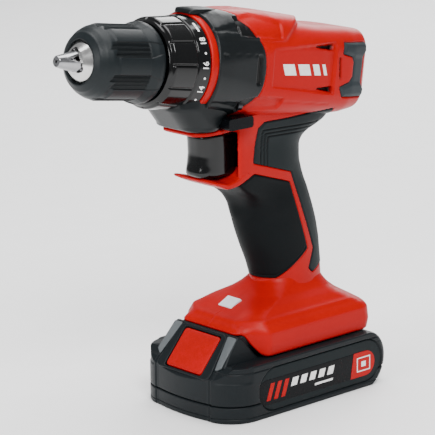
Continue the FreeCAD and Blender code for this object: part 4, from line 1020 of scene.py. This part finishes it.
    def strap_skin(self) -> Skin:
        """Soft back strap from under the barrel to the foot, with three stepped grooves that carry painted
        shade.
        """
        grid = self.shape(np.linspace(64.0, 165.0, 300), 330)
        distance = self.area(self.strap, grid, 1.2)
        relief = 0.35 - (self.sink + 0.35) * smooth(-0.6, 0.4, distance)
        x, z = grid[..., 0], grid[..., 2]
        ink = np.zeros(x.shape)
        for step in range(3):
            shift = 2.35 * step
            corner_x, corner_z = 18.4 - shift, 155.6 - shift * 0.9
            line = np.maximum(x - corner_x - (z - 150.0) * 0.02, z - corner_z - (x - corner_x) * 0.03)
            reach = (z > 131.0 + step) & (x > -26.0) & (np.abs(grid[..., 1]) > 4.0)
            relief = relief + groove(np.where(reach, line, 9.0), 0.55, 0.7)
            # painted shade along each groove
            ink = np.maximum(ink, np.where(reach, 1.0 - smooth(0.1, 0.5, np.abs(line)), 0.0))
        lifted = grid + outward(grid, True) * relief[..., None]
        return Skin(lifted, True, distance < 0.8, {"ink": ink})


@dataclass
class TriggerFrame:
    """Red frame round the trigger: an arm above it and a curved lip below it."""

    half_width: float = 17.4
    bow: float = 11.0
    tip: float = 63.4

    def arm(self, path: Points, thickness: Points, radius: float) -> Skin:
        """A superellipse section carried along a side-view path.

        The section is as thick as the table says at each share of the path, and as wide as the
        frame's plan, which narrows by a circular arc towards its tip.
        """
        line = resampled(rounded(path, radius, closed=False, steps=12), 0.7)
        share = np.linspace(0.0, 1.0, len(line))
        table = np.array(thickness)
        half = np.interp(share, table[:, 0], table[:, 1]) / 2
        slope = np.gradient(line, axis=0)
        slope /= np.linalg.norm(slope, axis=1, keepdims=True)
        across = np.stack([-slope[:, 1], slope[:, 0]], 1)
        over = np.clip((line[:, 0] - (self.tip - self.bow)) / self.bow, 0.0, 0.985)
        width = self.half_width - self.bow * 0.95 * (1.0 - np.sqrt(1.0 - over**2))
        end = np.sqrt(np.clip((1.0 - share) / 0.03, 0.02, 1.0))
        turn = np.linspace(0.0, 2 * math.pi, 96, endpoint=False)[None, :]
        reach = (np.abs(np.cos(turn)) ** 5 + np.abs(np.sin(turn)) ** 5) ** -0.2
        up = (half * end)[:, None] * np.sin(turn) * reach
        y = width[:, None] * np.cos(turn) * reach
        x = line[:, :1] + across[:, :1] * up
        z = line[:, 1:] + across[:, 1:] * up
        return Skin(np.stack([x, y, z], -1), capped=(True, True))

    def skins(self) -> list[Skin]:
        """The arm over the trigger and the lip under it."""
        upper = self.arm(((24.0, 160.5), (46.0, 158.4), (62.6, 158.3)),
                         ((0.0, 7.0), (0.45, 3.6), (1.0, 2.8)), 8.0)
        lower = self.arm(((27.0, 133.0), (33.5, 128.6), (41.0, 127.3), (50.6, 130.6)),
                         ((0.0, 6.5), (0.45, 4.6), (0.8, 3.2), (1.0, 2.0)), 9.0)
        return [upper, lower]


@dataclass
class Trigger:
    """Gloss trigger: bowed in plan, hollowed in front for the finger."""

    rear: float = 29.5
    half_width: float = 10.7
    low: float = 131.7
    high: float = 155.5

    def build(self) -> None:
        """A superellipse plan whose front follows the side view's curve, rounded at both ends."""
        z = np.concatenate([np.linspace(self.low, self.low + 2.0, 9),
                            np.linspace(self.low + 2.3, self.high - 1.6, 50),
                            np.linspace(self.high - 1.4, self.high, 8)])
        table = np.array([(self.low, 52.0), (134.0, 52.9), (138.0, 51.8), (144.0, 50.9), (150.0, 51.2),
                          (154.0, 51.6), (self.high, 50.6)])
        front = soft_table(table, z, 1.0)[:, 0]
        ends = np.minimum(np.clip((z - self.low) / 1.8, 0, 1), np.clip((self.high - z) / 1.4, 0, 1))
        shrink = 1.6 * (1.0 - np.sqrt(1.0 - (1.0 - ends) ** 2))
        turn = np.linspace(0.0, 2 * math.pi, 140, endpoint=False)[None, :]
        cos, sin = np.cos(turn), np.sin(turn)
        power = np.where(cos > 0, 2.8, 12.0)
        reach = (np.abs(cos) ** power + np.abs(sin) ** power) ** (-1.0 / power)
        middle = 38.0
        depth = np.where(cos > 0, (front - shrink)[:, None] - middle, middle - self.rear)
        x = middle + depth * cos * reach
        y = (self.half_width - shrink[:, None]) * sin * reach
        grid = np.stack([x, y, np.broadcast_to(z[:, None], x.shape)], -1)
        make_piece("trigger_moulding", [Skin(grid, capped=(True, True))], GLOSS, "trigger", ["trigger"])


@dataclass
class Skirt:
    """Lower front of the gear case, over the trigger: a loft of rounded rectangles."""

    half_width: float = 19.8

    def skin(self) -> Skin:
        """Rows upwards; the front edge slopes back and the rear edge slopes forward below."""
        z = np.concatenate([np.linspace(159.9, 161.4, 8), np.linspace(161.8, 181.0, 40)])
        front = np.interp(z, (159.9, 161.0, 172.8, 174.2, 181.0), (64.6, 66.4, 75.6, 75.8, 74.0))
        rear = np.interp(z, (159.9, 168.0, 181.0), (44.6, 36.4, 34.0))
        soft = 1.2 * (1.0 - np.sqrt(1.0 - (1.0 - np.clip((z - 159.9) / 1.5, 0.0, 1.0)) ** 2))
        half_x, centre = (front - rear) / 2 - soft, (front + rear) / 2
        width = np.full(len(z), self.half_width) - soft
        plan = ring(width, half_x, -half_x, np.full(len(z), 13.0), 14, 22)
        x = centre[:, None] + plan[..., 1]
        height = np.broadcast_to(z[:, None], x.shape)
        return Skin(np.stack([x, plan[..., 0], height], -1), capped=(True, True))


@dataclass
class Foot:
    """Foot of the housing: a spreading loft whose front edge rises over the battery's nose."""

    table: tuple[tuple[float, ...], ...] = (  # height, rear x, front x, half width, corner radius
        (30.0, -51.6, 43.0, 33.4, 6.0), (38.0, -54.6, 43.4, 33.6, 7.0), (45.5, -54.4, 42.6, 33.2, 8.0),
        (48.0, -53.2, 40.8, 31.6, 9.0), (51.0, -49.0, 36.4, 28.4, 10.0), (56.0, -41.5, 26.0, 23.2, 12.0),
        (59.0, -39.6, 15.6, 19.2, 13.0), (62.0, -38.6, 10.0, 16.8, 14.0), (65.0, -37.6, 5.6, 15.6, 14.5),
        (69.0, -36.5, 3.0, 14.6, 14.0))
    low: float = 32.4
    high: float = 67.5
    cut: Points = ((26.5, 32.4), (29.0, 33.6), (37.0, 43.6), (39.0, 45.3), (60.0, 45.3))
    wall: float = 2.4
    taper: float = 0.26
    ceiling: float = 47.0
    step: float = 0.25

    def loft(self) -> tuple[Array, Array]:
        """Fine rows of the plain form, and the height of each."""
        z = np.arange(self.low - 1.0, self.high + 1.0, self.step)
        rear, front, width, corner = soft_table(np.array(self.table), z, 0.7).T
        plan = ring(width, (front - rear) / 2, -(front - rear) / 2, corner, 46, 28)
        x = ((front + rear) / 2)[:, None] + plan[..., 1]
        y = plan[..., 0] * (1.0 - self.taper * smooth(25.0, 38.0, x))
        return np.stack([x, y, np.broadcast_to(z[:, None], x.shape)], -1), z

    def skin(self, side: int) -> Skin:
        """One half. Each column starts on the lower edge, which is level along the flank and climbs
        over the nose, and rises to the handle; the wall turns in below and meets a ceiling."""
        fine, z = self.loft()
        rows, columns = fine.shape[:2]
        cut = np.array(self.cut)
        low = np.interp(fine[rows // 3, :, 0], cut[:, 0], cut[:, 1])
        share = np.linspace(0.0, 1.0, 120)[:, None]
        wanted = low[None, :] + (self.high - low[None, :]) * share
        place = (wanted - z[0]) / self.step
        index = np.clip(place.astype(int), 0, rows - 2)
        part = (place - index)[..., None]
        column = np.broadcast_to(np.arange(columns), index.shape)
        grid = fine[index, column] * (1 - part) + fine[index + 1, column] * part
        normal = outward(grid, True)
        ridge = (grid[..., 2] - 50.9) / 1.0
        relief = 0.45 * np.exp(-ridge * ridge) * smooth(-46.0, -36.0, grid[..., 0])
        relief = relief - 0.6 * (1.0 - smooth(0.0, 1.0, wanted - low[None, :])) ** 2
        relief = relief - 0.25 * (np.abs(grid[..., 1]) < 0.02)
        lifted = grid + normal * relief[..., None]
        inner = lifted[:1] - normal[:1] * self.wall
        raised = inner.copy()
        raised[..., 2] = self.ceiling
        middle = raised.copy()
        middle[..., 1] = 0.0
        lifted = np.concatenate([middle, raised, inner, lifted])
        half = columns // 2
        chosen = np.arange(half + 1) if side > 0 else np.r_[np.arange(half, columns), 0]
        return Skin(lifted[:, chosen], False)


def plate(outline: Array, middle: Points, place: Callable[[Array, Array, Array], Array],
          levels: Points, crown: float = 0.0) -> Skin:
    """A plate whose rows shrink from its outline towards a middle line.

    Args:
        outline: closed outline in (u, v).
        middle: ends of the middle line, or one point twice.
        place: turns u, v and height into row-frame points.
        levels: (share of the outline, height) of each row, from the underside to the middle.
        crown: extra height at the middle, falling off with the square of the share.

    Returns:
        The skin, closed at its middle line.
    """
    a, b = np.array(middle[0], float), np.array(middle[1], float)
    run = b - a
    share = np.clip(((outline - a) @ run) / max(run @ run, 1e-9), 0.0, 1.0)[:, None]
    nearest = a + run * share
    rows = []
    for scale, height in levels:
        flat = nearest + (outline - nearest) * scale
        lift = height + crown * (1.0 - scale * scale)
        rows.append(place(flat[:, 0], flat[:, 1], np.full(len(flat), lift)))
    return Skin(np.array(rows))


# ---- battery ----------------------------------------------------------------------------
@dataclass
class Battery:
    """Slide-on battery: tray, lid with tower and sloping nose, side pads and release button."""

    half_width: float = 39.0
    rear: float = -61.5
    front: float = 63.5
    top: float = 31.6
    seam: float = 9.6
    slope_x: float = 43.6
    slope_z: float = 44.9
    slope_run: tuple[float, float] = (0.6547, -0.7560)
    pad_z: float = 15.6
    pad_r: float = 12.4
    pad_ends: tuple[float, float] = (-43.5, 27.6)
    label_z: float = 14.4
    label_r: float = 7.3
    label_ends: tuple[float, float] = (-43.0, 34.0)
    print_y: float = 38.58
    mark_y: float = 38.70

    def plan(self) -> Array:
        """Closed plan from the front centre: bowed front, large front corners, small rear ones."""
        w, f = self.half_width, self.front
        y = np.linspace(0.0, w - 19.0, 24)
        bow = np.stack([f - 1.8 * (y / 20.0) ** 2, y], 1)
        turn = np.linspace(0.14, math.pi / 2, 30)[:, None]
        corner = np.concatenate([f - 21.0 + 19.4 * np.cos(turn), w - 19.0 + 19.0 * np.sin(turn)], 1)
        turn = np.linspace(math.pi / 2, math.pi, 14)[:, None]
        back = np.concatenate([self.rear + 6 + 6 * np.cos(turn), w - 6 + 6 * np.sin(turn)], 1)
        left = np.concatenate([bow, corner, back, [[self.rear, 0.0]]])
        line = np.concatenate([left, (left * [1, -1])[::-1][1:-1]])
        return resampled(line, 0.52, closed=True)

    def wall(self, z: Array, inset: Array) -> Array:
        """Wall grid over heights z. Behind x = -45.7 each height is drawn in so that the side view
        ends in a half circle, and in front the sloping nose cuts it off."""
        plan = self.plan()
        centre = np.array([1.0, 0.0])
        shrink = 1.0 - inset[:, None] / np.array([62.0, 39.0])[None, :]
        flat = centre + (plan - centre)[None] * shrink[:, None, :]
        middle = self.top / 2
        round_end = np.sqrt(np.clip(1.0 - ((z - middle) / middle) ** 2, 0.0, 1.0))[:, None]
        x = flat[..., 0]
        start = self.rear + middle
        x = np.where(x < start, start + (x - start) * round_end, x)
        x = np.minimum(x, self.slope_x + (self.slope_z - z[:, None]) * 0.866)
        return np.stack([x, flat[..., 1], np.broadcast_to(z[:, None], x.shape)], -1)

    def stadium(self, radius: float, z: float, ends: tuple[float, float], steps: int = 40) -> Array:
        """Closed stadium outline in (x, z)."""
        turn = np.linspace(math.pi / 2, 3 * math.pi / 2, steps)[:, None]
        rear = np.concatenate([ends[0] + radius * np.cos(turn), z + radius * np.sin(turn)], 1)
        fore = np.concatenate([ends[1] - radius * np.cos(turn), z - radius * np.sin(turn)], 1)
        return resampled(np.concatenate([rear, fore]), 0.7, closed=True)

    def relief(self, grid: Array) -> Array:
        """Grooves of the rim, base and front, and the beds of the side pads."""
        x, y, z = grid[..., 0], np.abs(grid[..., 1]), grid[..., 2]
        relief = groove(z - 28.2, 0.55, 0.5) + groove(z - 25.6, 0.45, 0.3) * (x < 20.0)
        relief = relief + groove(z - 2.8, 0.5, 0.35)
        upright = np.where((x > 54.0) & (z < 24.0), np.abs(y - 22.0), 9.0)
        relief = relief + groove(upright, 0.7, 0.7)
        bed = outline_distance(self.stadium(self.pad_r, self.pad_z, self.pad_ends), x, z)
        relief = relief - 1.3 * (1.0 - smooth(-0.2, 0.3, bed)) * (y > 30.0)
        step = smooth(22.0, 23.2, z) * smooth(44.0, 47.0, x)
        return relief - 0.5 * step * (y > 24.0) - 0.02

    def shell(self, low: float, high: float, capped: tuple[bool, bool]) -> Skin:
        """Wall between two heights with eased edges, drawn in by 2 mm at each end."""
        turn = np.linspace(math.acos(1 - 2 * low / self.top), math.acos(1 - 2 * high / self.top), 74)
        z = self.top / 2 * (1 - np.cos(turn))
        edge = np.minimum(z - low, high - z)
        inset = 0.9 * (1.0 - np.sqrt(1.0 - (1.0 - np.clip(edge / 0.9, 0.0, 1.0)) ** 2))
        grid = self.wall(z, inset)
        lifted = grid + outward(grid, True) * self.relief(grid)[..., None]
        centre = np.array([1.0, 0.0, 0.0])
        ends = [(lifted[row] - centre) * [0.93, 0.93, 1.0] + centre for row in (0, -1)]
        lifted = np.concatenate([ends[0][None], lifted, ends[1][None]])
        bore = (lifted[..., 0] > 45.0) & (np.abs(lifted[..., 1]) < 16.6) & (lifted[..., 2] > 24.6)
        return Skin(lifted, keep=~bore, capped=capped)

    def box(self, sizes: Points, half_width: float, corner: float, flat: int = 40) -> Skin:
        """Loft of rounded rectangles: each row of sizes is (z, rear x, front x, inset)."""
        table = np.array(sizes)
        z, rear, front, inset = table.T
        half = (front - rear) / 2 - inset
        plan = ring(half_width - inset, half, -half, np.full(len(z), corner), flat, 8)
        x = ((front + rear) / 2)[:, None] + plan[..., 1]
        height = np.broadcast_to(z[:, None], x.shape)
        return Skin(np.stack([x, plan[..., 0], height], -1), capped=(True, True))

    def tower(self) -> list[Skin]:
        """Tower with its flanges, which slide into the foot."""
        tower = self.box(((31.0, -37.0, 40.0, 0.0), (43.6, -37.0, 40.0, 0.0), (44.2, -37.0, 40.0, 0.3),
                          (44.4, -37.0, 40.0, 0.9)), 24.2, 1.6)
        flange = self.box(((35.5, -37.0, 27.0, 0.4), (35.8, -37.0, 27.0, 0.0), (38.7, -37.0, 27.0, 0.0),
                           (39.0, -37.0, 27.0, 0.4)), 30.0, 1.2)
        return [tower, flange]

    def nose(self) -> Skin:
        """Wedge in front of the tower: a loft whose front face is the slope."""
        z = np.concatenate([np.linspace(30.6, 43.6, 34), [44.2, 44.6, 44.9]])
        soft = np.interp(z, (43.6, 44.2, 44.6, 44.9), (0.0, 0.12, 0.35, 0.9))
        front = self.slope_x + (self.slope_z - z) * 0.866
        rear = np.interp(z, (31.0, 43.4, 44.9), (29.5, 39.4, 41.6))
        half = np.maximum((front - rear) / 2 - soft * 0.5, 0.4)
        width = np.interp(z, (30.6, 36.0, 44.9), (28.0, 26.5, 25.4))
        plan = ring(width - soft, half, -half, np.full(len(z), 1.6), 52, 8)
        x = ((front + rear) / 2)[:, None] + plan[..., 1]
        grid = np.stack([x, plan[..., 0], np.broadcast_to(z[:, None], x.shape)], -1)
        slope = np.abs(x - front[:, None]) < 1.2
        keep = ~(slope & (np.abs(grid[..., 1]) < 16.6) & (grid[..., 2] < 43.0))
        return Skin(grid, keep=keep, capped=(False, True))

    def on_slope(self, y: Array, t: Array, n: Array) -> Array:
        """Row-frame points t down the slope, y across it and n above it."""
        c, d = self.slope_run
        return np.stack([self.slope_x + c * t - d * n, y, self.slope_z + d * t + c * n], -1)

    def frame(self) -> Skin:
        """Raised frame round the button, and the well that the button sinks into."""
        outer = rounded(((-18.6, 0.4), (18.6, 0.4), (22.0, 28.6), (-22.0, 28.6)), 4.0)
        inner = rounded(((-15.0, 2.0), (15.0, 2.0), (15.0, 27.2), (-15.0, 27.2)), 2.0)
        rows = [(outer, 0.0, -0.6), (outer, 0.0, 0.3), (outer, 0.02, 0.62), (outer, 0.05, 0.75),
                (inner, -0.03, 0.75), (inner, -0.01, 0.6), (inner, 0.0, 0.2), (inner, 0.0, -6.4)]
        centre = np.array([0.0, 14.6])
        made = []
        for line, shrink, height in rows:
            flat = centre + (line - centre) * (1.0 - shrink)
            made.append(self.on_slope(flat[:, 0], flat[:, 1], np.full(len(flat), height)))
        return Skin(np.array(made), capped=(False, True))

    def cheeks(self) -> list[Skin]:
        """Smooth light plates on both sides of the frame."""
        made = []
        for side in (1, -1):
            corners = ((18.6 * side, 0.7), (25.0 * side, 0.7), (26.2 * side, 19.0), (22.6 * side, 22.0))
            outline = rounded(corners, 1.0)
            levels = ((1.0, -0.4), (1.0, 0.25), (0.97, 0.45), (0.9, 0.5), (0.5, 0.5), (0.0, 0.5))
            made.append(plate(outline, ((22.0 * side, 4.0), (24.4 * side, 18.0)), self.on_slope, levels, 0.1))
        return made

    def build(self) -> None:
        """Makes the battery's pieces."""
        upper = self.shell(self.seam + 0.12, self.top, (False, True))
        lid = [upper, self.nose(), self.frame(), *self.tower()]
        make_piece("battery_lid", lid, BATTERY, "battery", ["battery_case_top"])
        tray = [self.shell(0.0, self.seam - 0.12, (True, False))]
        make_piece("battery_tray", tray, BATTERY, "battery", ["battery_case_bottom"])
        make_piece("battery_cheeks", self.cheeks(), CHEEK, "battery")
        button = rounded(((-14.3, 2.7), (14.3, 2.7), (14.3, 26.5), (-14.3, 26.5)), 2.2)
        levels = ((1.0, -5.2), (1.0, -0.1), (0.985, 0.35), (0.95, 0.55), (0.8, 0.6), (0.6, 0.6),
                  (0.4, 0.6), (0.2, 0.6), (0.0, 0.6))
        crowned = plate(resampled(button, 0.8, True), ((-3.0, 14.6), (3.0, 14.6)), self.on_slope, levels, 0.8)
        make_piece("release_button", [crowned], BUTTON, "battery_button", ["battery_button"])
        self.flanks()

    def flanks(self) -> None:
        """Side pads, the labels on them and the generic signs."""
        pads, labels, signs, bars, reds = [], [], [], [], []
        for side in (1, -1):
            def flank(u: Array, v: Array, n: Array, side: int = side) -> Array:
                return np.stack([u, side * n, v], -1)
            outline = self.stadium(self.pad_r - 0.25, self.pad_z, self.pad_ends)
            middle = ((self.pad_ends[0], self.pad_z), (self.pad_ends[1], self.pad_z))
            levels = ((1.0, 37.4), (1.0, 38.1), (0.98, 38.38), (0.94, 38.45), (0.6, 38.45), (0.0, 38.45))
            pads.append(plate(outline, middle, flank, levels))
            outline = self.stadium(self.label_r, self.label_z, self.label_ends)
            levels = ((1.0, 38.3), (0.995, 38.52), (0.97, 38.56), (0.5, 38.56), (0.0, 38.56))
            rear, fore = self.label_ends
            labels.append(plate(outline, ((rear, self.label_z), (fore, self.label_z)), flank, levels))
            block = [(-31.0, 7.1), (rear, 7.1)]
            block += [(rear - self.label_r * math.sin(a), self.label_z - self.label_r * math.cos(a))
                      for a in np.linspace(0.1, 3.04, 16)]
            block += [(rear, 21.7), (-33.5, 21.7)]
            turn = 1 if side > 0 else -1
            lift = np.full(len(block), self.print_y)
            signs.append((flank(*np.array(block).T, lift), [list(range(len(block)))[::turn]]))
            for start, width, low, high, prints in (
                    (31.5, 3.0, 9.6, 19.2, reds), (26.0, 3.0, 9.6, 19.2, reds), (20.5, 3.0, 9.6, 19.2, reds),
                    (11.5, 4.4, 14.2, 18.8, bars), (4.5, 4.4, 14.2, 18.8, bars),
                    (-2.5, 4.4, 14.2, 18.8, bars), (-9.5, 4.4, 14.2, 18.8, bars),
                    (-16.5, 4.4, 14.2, 18.8, bars), (-16.5, 14.0, 10.4, 11.6, bars)):
                lean = (high - low) * 0.35
                bar = np.array(((start, low), (start + width, low),
                                (start + width - lean, high), (start - lean, high)))
                prints.append((flank(*bar.T, np.full(4, self.print_y)), [[0, 1, 2, 3][::-turn]]))
            for low, high, left, right in ((18.0, 18.6, -46.6, -36.0), (10.2, 10.8, -46.6, -36.0),
                                           (10.8, 18.0, -46.6, -46.0), (10.8, 18.0, -36.6, -36.0),
                                           (12.9, 15.9, -43.0, -39.6)):
                mark = np.array(((left, low), (right, low), (right, high), (left, high)))
                bars.append((flank(*mark.T, np.full(4, self.mark_y)), [[0, 1, 2, 3][::-turn]]))
        make_piece("battery_side_pads", pads, BACK_GRIP, "battery", ["battery_pads"])
        make_piece("battery_labels", labels, LABEL, "battery")
        print_piece("battery_label_blocks", [*signs, *reds], RED_PRINT, "battery")
        print_piece("battery_label_bars", bars, PRINT, "battery")


# ---- housing and its details ------------------------------------------------------------
@dataclass
class Housing:
    """Joins barrel, handle and foot into the two red shells and adds the mouldings on them."""

    barrel: Barrel
    handle: Handle
    foot: Foot
    frame: TriggerFrame
    skirt: Skirt
    bar_low: float = -2.4
    bar_high: float = 3.6

    def build(self) -> None:
        """Makes every moulding that rides on the housing."""
        shells = dict(self.barrel.housing())
        for side, name in ((1, "left"), (-1, "right")):
            skins = [shells[side], self.handle.shell(side), self.foot.skin(side)]
            make_piece(f"housing_{name}_moulding", skins, RED, "housing", [f"housing_{name}"])
            make_piece(f"grip_{name}_moulding", [self.handle.panel(side)], GRIP, "housing", [f"grip_{name}"])
        strap = [self.handle.strap_skin(), self.barrel.under_strap()]
        make_piece("back_strap_moulding", strap, BACK_GRIP, "housing", ["back_strap"])
        make_piece("trigger_frame", self.frame.skins(), RED, "housing")
        case = [self.barrel.case(), self.barrel.tongue(), self.skirt.skin()]
        make_piece("gear_case_moulding", case, CASE, "housing", ["gear_case"])
        make_piece("rear_bumper_mouldings", self.barrel.bumpers(), BUMPER, "housing", ["rear_bumpers"])
        self.stripes()

    def stripes(self) -> None:
        """Slanted white bars on both side panels, following the flank."""
        prints = []
        table = np.array(self.barrel.table)
        for side in (1, -1):
            for start, width in ((9.0, 9.0), (-3.0, 9.0), (-15.0, 5.0), (-23.0, 2.5)):
                edge = np.linspace(0.0, 1.0, 12)
                low = np.stack([start - width * edge, np.full(12, self.bar_low)], 1)
                high = np.stack([start - width * edge[::-1] + 2.6, np.full(12, self.bar_high)], 1)
                flat = np.concatenate([low, high])
                depth = 0.25 + 1.3 * np.clip((18.0 - flat[:, 0]) / 46.0, 0.0, 1.0)
                y = soft_table(table, flat[:, 0], self.barrel.blur)[:, 0] - depth + 0.06
                faces = [[k, k + 1, 22 - k, 23 - k][::side] for k in range(11)]
                prints.append((HEAD.place(flat[:, 0], side * y, flat[:, 1]), faces))
        print_piece("side_panel_bars", prints, PRINT, "housing")


# ---- studio -----------------------------------------------------------------------------
@dataclass
class Studio:
    """Camera, lights, floor and surroundings."""

    azimuth: float = 137.8
    elevation: float = 14.16
    roll: float = -0.58
    place: tuple[float, float, float] = (834.82, 882.85, 407.01)
    lens: float = 185.6
    target: tuple[float, float, float] = (0.03, 0.0, 0.11)

    def camera(self) -> None:
        """Puts the camera at its place, turned by azimuth, elevation and roll."""
        az, el, roll = (math.radians(v) for v in (self.azimuth, self.elevation, self.roll))
        back = Vector((math.sin(az) * math.cos(el), -math.cos(az) * math.cos(el), math.sin(el)))
        right = (-back).cross(Vector((0, 0, 1))).normalized()
        up = right.cross(-back)
        turned_right = right * math.cos(roll) + up * math.sin(roll)
        turned_up = up * math.cos(roll) - right * math.sin(roll)
        data = bpy.data.cameras.new("camera")
        data.lens, data.sensor_width = self.lens, 36.0
        data.clip_start, data.clip_end = 0.05, 30.0
        holder = bpy.data.objects.new("camera", data)
        turn = Matrix((turned_right, turned_up, back)).transposed().to_4x4()
        turn.translation = Vector(self.place) * MM
        holder.matrix_world = turn
        bpy.context.scene.collection.objects.link(holder)
        bpy.context.scene.camera = holder

    def light(self, name: str, place: tuple[float, float, float], size: float, power: float) -> None:
        """A square area light aimed at the object."""
        data = bpy.data.lights.new(name, "AREA")
        data.shape, data.size, data.energy = "SQUARE", size, power
        holder = bpy.data.objects.new(name, data)
        aim = Vector(self.target) - Vector(place)
        holder.location = place
        holder.rotation_euler = aim.to_track_quat("-Z", "Y").to_euler()
        bpy.context.scene.collection.objects.link(holder)

    def build(self) -> None:
        """Makes the studio."""
        self.camera()
        self.light("key_light", (0.7, 1.2, 1.5), 0.7, 34.0)
        self.light("front_light", (1.7, 0.1, 0.7), 0.5, 15.0)
        self.light("top_light", (-0.2, -0.2, 1.9), 1.6, 52.0)
        self.light("rear_light", (-1.4, -0.9, 0.9), 0.9, 16.0)
        world = bpy.data.worlds.new("studio")
        bpy.context.scene.world = world
        world.use_nodes = True
        surround = world.node_tree.nodes["Background"]
        surround.inputs["Color"].default_value = (0.93, 0.94, 0.96, 1.0)
        surround.inputs["Strength"].default_value = 0.42
        mesh = bpy.data.meshes.new("floor")
        reach = 8.0
        corners = [(-reach, -reach, 0), (reach, -reach, 0), (reach, reach, 0), (-reach, reach, 0)]
        mesh.from_pydata(corners, [], [(0, 1, 2, 3)])
        floor = bpy.data.objects.new("floor", mesh)
        bpy.context.scene.collection.objects.link(floor)
        mesh.materials.append(FLOOR.material())


def dress(nodes: dict[str, bpy.types.Object]) -> None:
    """Gives every CAD node the material of its finish."""
    for name, node in nodes.items():
        finish = NODE_FINISH.get(name, GEAR if name.startswith("planet") else BLACK)
        for slot in node.material_slots:
            slot.material = finish.material()


def main() -> None:
    """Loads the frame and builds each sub-assembly."""
    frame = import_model()
    dress(frame["nodes"])
    Housing(Barrel(), Handle(), Foot(), TriggerFrame(), Skirt()).build()
    Chuck().build()
    Collar().build()
    Trigger().build()
    Battery().build()
    Studio().build()


if __name__ == "__main__":
    logging.basicConfig(level=logging.INFO, format="%(message)s")
    main()
